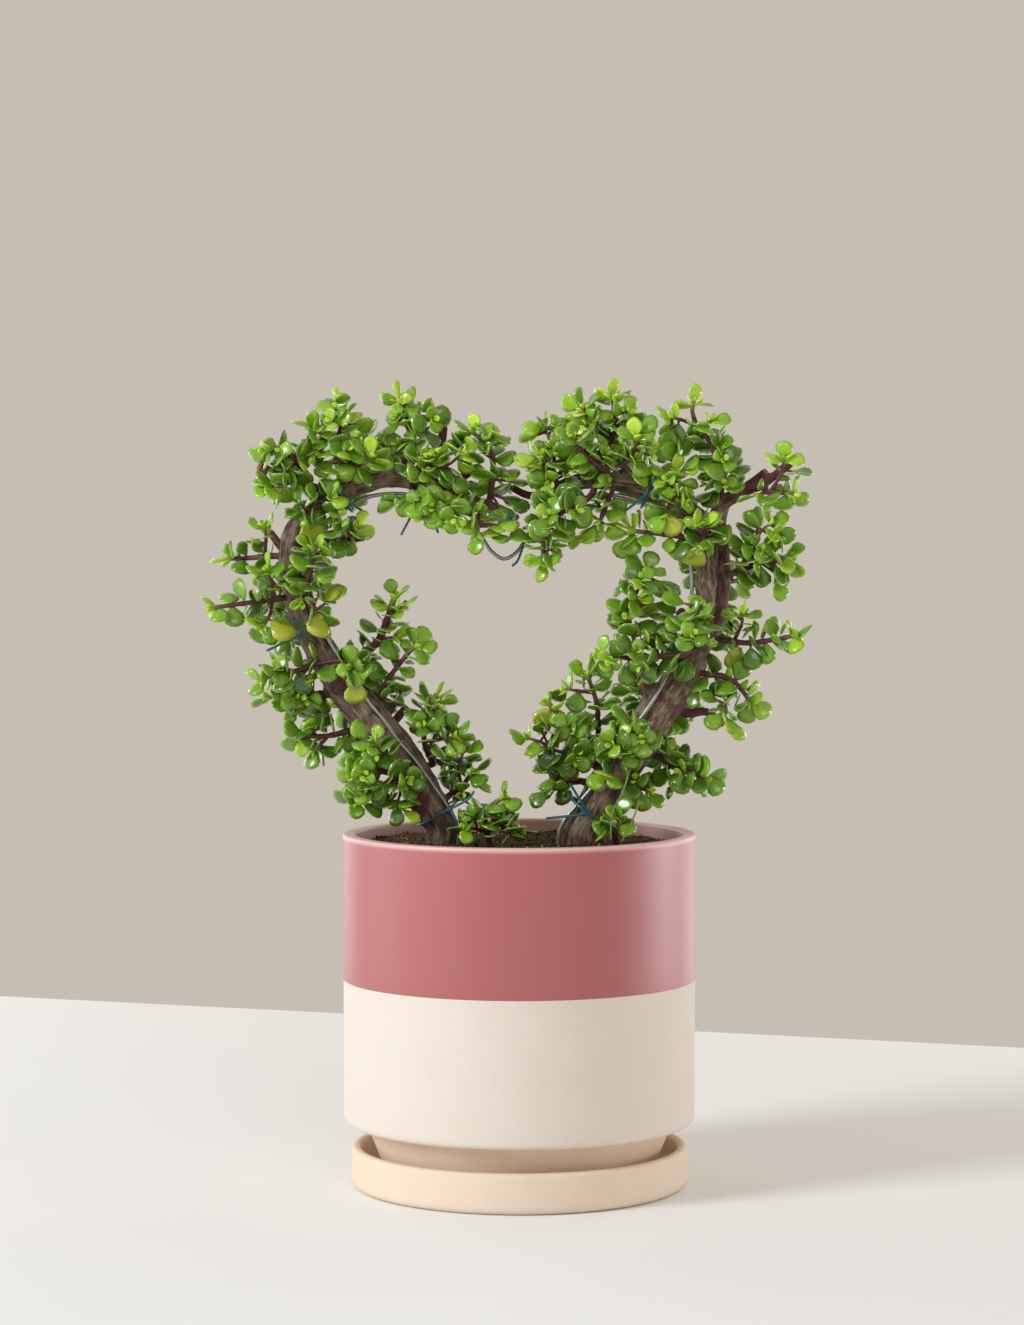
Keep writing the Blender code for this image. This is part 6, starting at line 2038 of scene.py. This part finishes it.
@dataclass
class Trunk:
    """A trunk with its cut branches: fused tubes, remeshed, and then wrinkled as bark."""

    name: str
    main: list
    branches: list
    plan: Plan
    material: bpy.types.Material
    voxel_mm: float = 0.75
    sides: int = 16
    step_mm: float = 3.0
    wrinkle: float = 0.28
    wrinkle_mm: float = 1.6
    lump: float = 0.55
    lump_mm: float = 7.0
    scar: float = 0.3
    scar_every_mm: tuple[float, float] = (7.0, 13.0)
    scar_width_mm: float = 0.6
    young_radius: tuple[float, float] = (2.2, 4.2)
    easing: int = 4
    longest_mm: float = 600.0
    branch_shift: float = 0.7
    stretch: float = 0.2
    finer: float = 2.3
    finer_share: float = 0.5
    scar_wave_mm: float = 3.0
    scar_wobble_mm: float = 1.2
    cut_mm: float = 0.2
    least_cut_mm: float = 1.2
    youngest: float = 0.85
    parted: Optional[PartedStems] = None

    def build(self) -> bpy.types.Object:
        """The finished trunk."""
        main, branches = self.main, list(self.branches)
        if self.parted:
            main = self.parted.move(main, -1)
            branches[0] = self.parted.move(branches[0], 1)
        routes = [trunk_route(main)] + [VIEW.route(b) for b in branches]
        routes = [smooth_route(route, self.step_mm) for route in routes]
        shape = Shape()
        for route in routes:
            shape.add_tube(route, self.sides)
        for growth in self.plan.growths:
            if growth.spur and growth.spray.grows_from == self.name:
                shape.add_tube(growth.spur, self.sides)
        guide = linked_object(self.name, shape.mesh(self.name))
        remesh = guide.modifiers.new("fuse", "REMESH")
        remesh.mode = "VOXEL"
        remesh.voxel_size = self.voxel_mm * MM
        smooth = guide.modifiers.new("ease", "SMOOTH")
        smooth.iterations = self.easing
        mesh = evaluated_mesh(guide)
        self.wrinkle_bark(mesh, routes)
        mesh.shade_smooth()
        return add_piece(f"{self.name}_bark", mesh, [self.material], [self.name])

    def wrinkle_bark(self, mesh: bpy.types.Mesh, routes: list[Route]) -> None:
        """Moves each point out or in by the bark's relief, and stores what the bark's colour reads.

        Args:
            mesh: The fused mesh.
            routes: The middle lines of the trunk and its branches.
        """
        draw = random.Random(self.name)
        samples = []
        for number, route in enumerate(routes):
            travelled, side = 0.0, None
            scars = [draw.uniform(*self.scar_every_mm)]
            while scars[-1] < self.longest_mm:
                scars.append(scars[-1] + draw.uniform(*self.scar_every_mm))
            fine = smooth_route(route, 1.0)
            for i, (place, radius) in enumerate(fine):
                ahead = (fine[min(i + 1, len(fine) - 1)][0] - fine[max(i - 1, 0)][0]).normalized()
                side = ahead.orthogonal() if side is None else side - ahead * side.dot(ahead)
                side.normalize()
                last = i >= len(fine) - 2
                samples.append((place, radius, ahead, side.copy(),
                                travelled + number * self.branch_shift, scars, last))
                if i < len(fine) - 1:
                    travelled += (fine[i + 1][0] - place).length
        tree = kdtree.KDTree(len(samples))
        for i, sample in enumerate(samples):
            tree.insert(sample[0], i)
        tree.balance()
        young, cut, straight, moved = [], [], [], []
        low, high = self.young_radius
        for vertex in mesh.vertices:
            here = vertex.co.copy()
            _, found, _ = tree.find(here)
            place, radius, ahead, side, travelled, scars, last = samples[found]
            offset = here - place
            beyond = offset.dot(ahead)
            x, y = offset.dot(side), offset.dot(ahead.cross(side))
            unrolled = Vector((x, y, travelled + beyond))
            mm = unrolled / MM
            fibre = Vector((mm.x, mm.y, mm.z * self.stretch)) / self.wrinkle_mm
            grown = min(1.0, radius / high)
            height = self.wrinkle * grown * noise.noise(fibre)
            height += self.wrinkle * grown * self.finer_share * noise.noise(fibre * self.finer)
            height += self.lump * grown * noise.noise(here / (self.lump_mm * MM))
            wobble = noise.noise(here / (self.scar_wave_mm * MM)) * self.scar_wobble_mm
            for scar in scars:
                off = mm.z + wobble - scar
                if abs(off) < 3 * self.scar_width_mm:
                    height += self.scar * grown * math.exp(-(off / self.scar_width_mm) ** 2)
                    break
            is_cut = last and beyond > -self.cut_mm * MM
            moved.extend(here + vertex.normal * (0.0 if is_cut else height) * MM)
            young.append(min(1.0, max(0.0, (high - radius) / (high - low))) * self.youngest)
            cut.append(1.0 if is_cut and radius > self.least_cut_mm else 0.0)
            straight.extend(unrolled)
        mesh.vertices.foreach_set("co", moved)
        for key, numbers in (("young", young), ("cut", cut)):
            mesh.attributes.new(key, "FLOAT", "POINT").data.foreach_set("value", numbers)
        layer = mesh.attributes.new("straight", "FLOAT_VECTOR", "POINT")
        layer.data.foreach_set("vector", straight)


@dataclass
class SupportWire:
    """The wire that holds the heart: one smooth round wire from soil to soil."""

    plan: Plan
    sides: int = 12
    step_mm: float = 2.0
    skin: TwoTone = ZINC

    def build(self) -> bpy.types.Object:
        """The finished wire."""
        shape = Shape()
        shape.add_tube(smooth_route(self.plan.wire, self.step_mm), self.sides)
        mesh = shape.mesh("support_wire")
        return add_piece("training_wire", mesh, [self.skin.make()], ["support_wire"])


@dataclass
class TwistTies:
    """Plastic ties twisted round trunk and wire, each with its loose ends."""

    plan: Plan
    skin: TwoTone = TIE_PLASTIC
    sides: int = 10
    ring_points: int = 48
    flat: float = 0.7
    twist_turns: float = 2.5
    twist_mm: float = 5.0
    strand_shares: tuple[float, float] = (0.85, 0.6)
    beside: float = 1.1

    def build(self) -> None:
        """Builds every tie."""
        material = self.skin.make()
        rows = [(f"tie_{i}", tie) for i, tie in enumerate(TIES, 1)] + [("tie_knot", KNOT)]
        for name, (trunk, spot, ends) in rows:
            shape = Shape()
            centre, first, second = self.ring_of(trunk, spot)
            route = []
            for i in range(self.ring_points):
                turn = math.tau * i / self.ring_points
                place = centre + first * math.cos(turn) + second * math.sin(turn)
                route.append((place, SIZE.tie_radius))
            shape.add_tube(route, self.sides, self.flat, closed=True)
            start = min((p for p, _ in route), key=lambda p: p.y)
            for end in ends:
                tail = [(start, SIZE.tie_radius)] + [(VIEW.at(*p), SIZE.tie_radius) for p in end]
                self.add_tail(shape, smooth_route(tail, 0.8))
            add_piece(f"twist_{name}", shape.mesh(name), [material], [name])

    def add_tail(self, shape: Shape, route: Route) -> None:
        """Adds a loose end: a strand, with a second one wound round its first stretch.

        Args:
            shape: The tie so far.
            route: The strand's middle line.
        """
        strand, winding = self.strand_shares
        shape.add_tube([(p, r * strand) for p, r in route], self.sides, self.flat)
        wound, travelled = [], 0.0
        for i, (place, radius) in enumerate(route[:-1]):
            ahead = (route[i + 1][0] - place).normalized()
            side = side_of(ahead, math.tau * self.twist_turns * travelled / self.twist_mm)
            wound.append((place + side * radius * self.beside * MM, radius * winding))
            travelled += (route[i + 1][0] - place).length / MM
            if travelled > self.twist_mm:
                break
        if len(wound) > 2:
            shape.add_tube(wound, self.sides)

    def ring_of(self, trunk: Optional[str], spot: tuple) -> tuple[Vector, Vector, Vector]:
        """The middle and half axes of the ring of one tie.

        Args:
            trunk: The trunk that it holds, or None for the wire alone.
            spot: Where on the wire it is.

        Returns:
            The middle and the two half axes.
        """
        wire = self.plan.wire_samples
        flat = VIEW.at(*spot)
        middle = min(range(1, len(wire) - 1), key=lambda i: (wire[i][0].xz - flat.xz).length)
        along = (wire[middle + 1][0] - wire[middle - 1][0]).normalized()
        place = wire[middle][0]
        spare = SIZE.tie_radius + GAP
        if trunk is None:
            across = along.orthogonal().normalized()
            tight = (SIZE.wire_radius + spare + SIZE.wire_play) * MM
            return place, across * tight, along.cross(across) * tight
        wood, radius = nearest(place, self.plan.skeletons[trunk])
        across = place - wood
        across -= along * across.dot(along)
        distance = across.length / MM
        across.normalize()
        far = (distance + SIZE.wire_radius + radius) / 2 + spare
        shift = (distance + SIZE.wire_radius - radius) / 2
        wide = (radius + spare) / math.sqrt(1 - (shift / far) ** 2) + SIZE.wire_play
        first, second = across * far, along.cross(across) * wide
        return wood + across * shift * MM, first * SIZE.tie_slack * MM, second * SIZE.tie_slack * MM


class Corner(NamedTuple):
    """A corner of a turned profile in mm: radius, height and how round it is."""

    radius: float
    height: float
    fillet: float = 0.0


@dataclass
class Lathe:
    """Turns a profile with rounded corners into a solid of revolution."""

    steps: int = 160
    arc_points: int = 7
    longest_mm: float = 12.0
    fillet_share: float = 0.48
    weld_m: float = 1e-6

    def outline(self, corners: Sequence[Corner]) -> list[tuple[float, float]]:
        """The profile with its corners rounded and its long runs divided.

        Args:
            corners: The profile's corners.

        Returns:
            Radius and height of each of its points, in millimetres.
        """
        rounded: list[Vector] = []
        for i, corner in enumerate(corners):
            here = Vector((corner.radius, corner.height))
            if not corner.fillet or i in (0, len(corners) - 1):
                rounded.append(here)
                continue
            before = Vector(corners[i - 1][:2]) - here
            after = Vector(corners[i + 1][:2]) - here
            room = min(before.length, after.length) * self.fillet_share
            reach = min(corner.fillet, room)
            a, b = here + before.normalized() * reach, here + after.normalized() * reach
            for k in range(self.arc_points):
                t = k / (self.arc_points - 1)
                rounded.append(a * (1 - t) ** 2 + here * 2 * t * (1 - t) + b * t * t)
        divided: list[tuple[float, float]] = []
        for a, b in zip(rounded, rounded[1:]):
            count = max(1, math.ceil((b - a).length / self.longest_mm))
            divided += [tuple(a.lerp(b, i / count)) for i in range(count)]
        return divided + [tuple(rounded[-1])]

    def turn(self, name: str, corners: Sequence[Corner], closed: bool) -> bpy.types.Mesh:
        """The turned mesh.

        Args:
            name: The mesh's name.
            corners: The profile, down its outer side.
            closed: Whether the profile's last point joins its first, round a hole.

        Returns:
            A closed mesh.
        """
        profile = self.outline(corners)
        if closed:
            profile = profile[:-1]
        build = bmesh.new()
        for radius, height in profile:
            build.verts.new(Vector((radius, 0, height)) * MM)
        build.verts.ensure_lookup_table()
        count = len(profile)
        for i in range(count if closed else count - 1):
            build.edges.new((build.verts[i], build.verts[(i + 1) % count]))
        bmesh.ops.spin(build, geom=build.verts[:] + build.edges[:], axis=(0, 0, 1),
                       angle=math.tau, steps=self.steps, use_merge=True)
        bmesh.ops.remove_doubles(build, verts=build.verts, dist=self.weld_m)
        bmesh.ops.recalc_face_normals(build, faces=build.faces)
        return mesh_from(build, name)


@dataclass
class PotAndSaucer:
    """Stoneware pot, glazed above a sharp line, on its unglazed saucer."""

    radius: float = 80.0
    top: float = 160.0
    wall: float = 5.7
    shoulder: float = 29.0
    foot: float = 60.5
    glaze_line: float = 94.3
    glaze_step: float = 0.25
    base: float = 6.35
    floor: float = 6.0
    drain: float = 6.0
    saucer_radius: float = 76.2
    saucer_height: float = 18.3
    saucer_wall: float = 4.5
    saucer_floor: float = 6.0
    lathe: Lathe = field(default_factory=Lathe)
    glaze: PinkGlaze = field(default_factory=PinkGlaze)
    clay: Stoneware = field(default_factory=Stoneware)

    def build(self) -> None:
        """Builds the pot and the saucer."""
        # The foot's clay is a warmer copy of the body's: painted warm light bounced from the saucer.
        bounce_tinted_clay = Stoneware("warm_stoneware", "#e8d3bf", "#e2c6aa", "#a8845c").make()
        fired = Stoneware("fired_stoneware", "#e4d3c1", "#dfc9b1", "#a8845c").make()
        mesh = self.lathe.turn("pot", self.pot_corners(), closed=True)
        for material in (self.glaze.make(), self.clay.make(), bounce_tinted_clay):
            mesh.materials.append(material)
        for face in mesh.polygons:
            low = min(mesh.vertices[i].co.z for i in face.vertices) / MM
            high = max(mesh.vertices[i].co.z for i in face.vertices) / MM
            is_foot = high < self.shoulder + 0.1
            # index 2, the foot, takes the clay with the painted bounce light
            face.material_index = 0 if low > self.glaze_line - 0.15 else 2 if is_foot else 1
        add_piece("glazed_pot", mesh, [], ["pot"])
        mesh = self.lathe.turn("saucer", self.saucer_corners(), closed=False)
        add_piece("clay_saucer", mesh, [fired], ["saucer"])

    def pot_corners(self) -> list[Corner]:
        """The pot's profile."""
        inner, bare = self.radius - self.wall, self.radius - self.glaze_step
        rise = self.base + self.floor
        return [
            Corner(self.radius - 2.8, self.top), Corner(self.radius, self.top, 2.6),
            Corner(self.radius, self.glaze_line + 0.1, 0.12),
            Corner(bare, self.glaze_line - 0.12, 0.1), Corner(bare, self.shoulder, 3.6),
            Corner(self.foot + 9.5, self.shoulder, 1.2),
            Corner(self.foot + 6, self.shoulder - 8, 3.0),
            Corner(self.foot + 2, self.base + 4.5, 3.0), Corner(self.foot, self.base, 1.5),
            Corner(self.drain, self.base, 0.6), Corner(self.drain, rise, 0.6),
            Corner(self.foot - 5, rise, 4.0), Corner(self.foot + 3, self.shoulder, 3.0),
            Corner(inner - 2, self.shoulder + 8, 3.0), Corner(inner, self.shoulder + 14, 3.0),
            Corner(inner, self.top, 2.6), Corner(self.radius - 2.8, self.top),
        ]

    def saucer_corners(self) -> list[Corner]:
        """The saucer's profile."""
        inner = self.saucer_radius - self.saucer_wall
        return [
            Corner(0, self.saucer_floor), Corner(inner, self.saucer_floor, 4.0),
            Corner(inner, self.saucer_height, 2.2),
            Corner(self.saucer_radius, self.saucer_height, 2.2),
            Corner(self.saucer_radius, 0, 4.2), Corner(0, 0),
        ]


@dataclass
class Soil:
    """Potting mix: an uneven top surface with loose crumbs and chips scattered on it."""

    radius: float = 73.9
    top: float = 155.0
    bottom: float = 120.0
    bump: float = 1.5
    bump_mm: float = 11.0
    octaves: tuple[tuple[float, float], ...] = ((1.0, 1.0), (0.45, 3.1), (0.2, 8.0))
    edge_drop: float = 1.2
    edge_power: int = 6
    rings: int = 52
    steps: int = 120
    crumbs_per_m2: float = 190000.0
    crumb_mm: tuple[float, float] = (0.5, 2.1)
    crumb_shapes: tuple[tuple[float, float], ...] = (
        (1.0, 1.0), (1.1, 0.7), (1.4, 0.45), (2.0, 0.35),
    )
    crumb_play: tuple[float, float] = (0.7, 1.15)
    mostly_small: float = 2.4
    ground_hue: float = 0.3
    seed: int = 5
    mix: PottingMix = field(default_factory=PottingMix)

    def build(self) -> None:
        """Builds the soil and its crumbs."""
        material = self.mix.make()
        mesh = self.surface()
        crumbs = self.crumbs(mesh.copy(), material)
        add_piece("soil_bed", mesh, [material], ["soil"])
        add_piece("soil_crumbs", crumbs, [], [])

    def height(self, x: float, y: float) -> float:
        """How high the soil stands at a place, in metres."""
        spot = Vector((x, y, 0)) / (self.bump_mm * MM)
        bump = sum(share * noise.noise(spot * finer) for share, finer in self.octaves)
        edge = (math.hypot(x, y) / (self.radius * MM)) ** self.edge_power
        return (self.top + self.bump * bump - self.edge_drop * edge) * MM

    def surface(self) -> bpy.types.Mesh:
        """A closed block whose top is uneven."""
        build = bmesh.new()
        rows = []
        for ring in range(1, self.rings + 1):
            reach = self.radius * MM * ring / self.rings
            row = []
            for k in range(self.steps):
                turn = math.tau * k / self.steps
                x, y = reach * math.cos(turn), reach * math.sin(turn)
                row.append(build.verts.new((x, y, self.height(x, y))))
            rows.append(row)
        rows.append([build.verts.new((v.co.x, v.co.y, self.bottom * MM)) for v in rows[-1]])
        middle = build.verts.new((0, 0, self.height(0, 0)))
        for k in range(self.steps):
            onward = (k + 1) % self.steps
            build.faces.new((middle, rows[0][k], rows[0][onward]))
            for inner, outer in zip(rows, rows[1:]):
                build.faces.new((inner[k], outer[k], outer[onward], inner[onward]))
        build.faces.new(rows[-1][::-1])
        bmesh.ops.recalc_face_normals(build, faces=build.faces)
        mesh = mesh_from(build, "soil_bed")
        hue = mesh.attributes.new("hue", "FLOAT", "POINT")
        hue.data.foreach_set("value", [self.ground_hue] * len(mesh.vertices))
        return mesh

    def crumb_forms(self) -> bpy.types.Collection:
        """A few rough crumbs and chips of unit size."""
        forms = bpy.data.collections.new("crumb_forms")
        draw = random.Random(self.seed)
        for number, (wide, high) in enumerate(self.crumb_shapes):
            build = bmesh.new()
            bmesh.ops.create_icosphere(build, subdivisions=1, radius=0.5)
            for vertex in build.verts:
                vertex.co *= draw.uniform(*self.crumb_play)
                vertex.co.z *= high
                vertex.co.x *= wide
            mesh = mesh_from(build, f"crumb_{number}")
            mesh.shade_flat()
            forms.objects.link(bpy.data.objects.new(f"crumb_{number}", mesh))
        return forms

    def crumbs(self, bed: bpy.types.Mesh, material: bpy.types.Material) -> bpy.types.Mesh:
        """Crumbs scattered over the top of the bed with Geometry Nodes.

        Args:
            bed: A copy of the soil's mesh.
            material: The crumbs' material.

        Returns:
            One mesh of all crumbs.
        """
        sizes = {"Density": self.crumbs_per_m2, "Smallest": self.crumb_mm[0] * MM,
                 "Largest": self.crumb_mm[1] * MM, "Seed": self.seed}
        bed_of_crumbs = Scatter("crumbs_on_soil", self.crumb_forms(), sizes)
        add, given = bed_of_crumbs.add, bed_of_crumbs.given
        normal = add("GeometryNodeInputNormal")
        upward = add("ShaderNodeSeparateXYZ", None, {0: normal}, result=2)
        is_top = add("FunctionNodeCompare", {"operation": "GREATER_THAN", 1: 0.5}, {0: upward})
        spots = add("GeometryNodeDistributePointsOnFaces", None,
                    {"Mesh": given["Geometry"], "Selection": is_top,
                     "Density": given["Density"], "Seed": given["Seed"]})
        turn = add("FunctionNodeRandomValue",
                   {"data_type": "FLOAT_VECTOR", 1: (math.tau,) * 3, "Seed": 3})
        share, hue = (add("FunctionNodeRandomValue", {"Seed": seed}, result=1)
                      for seed in (7, 13))
        skewed = add("ShaderNodeMath", {"operation": "POWER", 1: self.mostly_small}, {0: share})
        size = add("ShaderNodeMapRange", None, {"Value": skewed, "To Min": given["Smallest"],
                                                "To Max": given["Largest"]})
        named = add("GeometryNodeStoreNamedAttribute", {"Name": "hue"},
                    {"Geometry": spots, "Value": hue})
        bed.name = "soil_crumbs"
        links = {"Points": named, "Rotation": turn, "Scale": size}
        return bed_of_crumbs.mesh(bed, links, material)


@dataclass
class Lamp:
    """A soft box: where it stands, what it faces, how large and how strong it is."""

    name: str
    place: tuple[float, float, float]
    size: tuple[float, float]
    watts: float
    colour: str = "#ffffff"
    aim: tuple[float, float, float] = (0.0, 0.0, 0.2)

    def build(self) -> None:
        """Adds the lamp."""
        light = bpy.data.lights.new(self.name, "AREA")
        light.shape = "RECTANGLE"
        light.size, light.size_y = self.size
        light.energy = self.watts
        light.color = linear(self.colour)[:3]
        lamp = linked_object(self.name, light)
        lamp.location = self.place
        facing = Vector(self.aim) - Vector(self.place)
        lamp.rotation_euler = facing.to_track_quat("-Z", "Y").to_euler()


@dataclass
class Studio:
    """Floor, room light, soft boxes and the camera of the front view."""

    room: str = "#c6beb3"
    room_strength: float = 1.0
    floor_m: float = 4.0
    far_edge_m: tuple[tuple[float, float], ...] = ((-0.331, 0.619), (0.289, 0.403))
    pitch_degrees: float = 2.15
    lens_mm: float = 90.8
    camera_m: tuple[float, float, float] = (-0.0033, -1.513, 0.294)
    lamps: tuple[Lamp, ...] = (
        Lamp("left_box", (-2.35, -1.4, 1.5), (0.85, 0.95), 64.0, "#ecf5ff"),
        Lamp("left_fill", (-1.5, 0.12, 0.15), (0.7, 0.3), 2.6, "#f4f8ff"),
        Lamp("right_fill", (1.4, 0.3, 0.1), (0.7, 0.3), 6.2, "#f4f8ff"),
        Lamp("front_fill", (0.6, -2.3, 1.3), (1.3, 0.8), 10.0, "#f4f8ff"),
        Lamp("right_strip", (0.75, 0.95, 0.3), (0.4, 0.9), 2.4),
        Lamp("left_strip", (-0.75, 0.95, 0.3), (0.4, 0.9), 2.4),
    )

    def build(self) -> None:
        """Builds the studio."""
        (left_x, left_y), (right_x, right_y) = self.far_edge_m
        slope = (right_y - left_y) / (right_x - left_x)
        side = self.floor_m
        corners = [(-side, -side, 0), (side, -side, 0)]
        corners += [(x, left_y + slope * (x - left_x), 0) for x in (side, -side)]
        mesh = bpy.data.meshes.new("floor")
        mesh.from_pydata(corners, [], [(0, 1, 2, 3)])
        mesh.materials.append(PALE_BOARD.make())
        linked_object("floor", mesh)
        world = bpy.data.worlds.new("studio")
        world.use_nodes = True
        background = world.node_tree.nodes["Background"]
        background.inputs["Color"].default_value = linear(self.room)
        background.inputs["Strength"].default_value = self.room_strength
        bpy.context.scene.world = world
        for lamp in self.lamps:
            lamp.build()
        camera = bpy.data.cameras.new("front_view")
        camera.lens = self.lens_mm
        camera.clip_start = 0.05
        stand = linked_object("front_view", camera)
        stand.location = self.camera_m
        stand.rotation_euler = Euler((math.radians(90 - self.pitch_degrees), 0, 0))
        bpy.context.scene.camera = stand
        bpy.context.scene.view_settings.view_transform = "Standard"


def main() -> None:
    """Builds every piece in order and reports each one."""
    logging.basicConfig(level=logging.INFO, format="%(name)s %(message)s")
    plan = Plan(frame["nodes"])
    LOG.info("planned %d leafy stems", len(plan.growths))
    PotAndSaucer().build()
    Soil().build()
    bark = Bark().make()
    Trunk(LEFT, TRUNK_LEFT, BRANCHES_LEFT, plan, bark).build()
    Trunk(RIGHT, TRUNK_RIGHT, BRANCHES_RIGHT, plan, bark, parted=PartedStems()).build()
    SupportWire(plan).build()
    TwistTies(plan).build()
    Foliage(plan).build()
    Studio().build()
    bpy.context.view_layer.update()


if __name__ == "__main__":
    main()
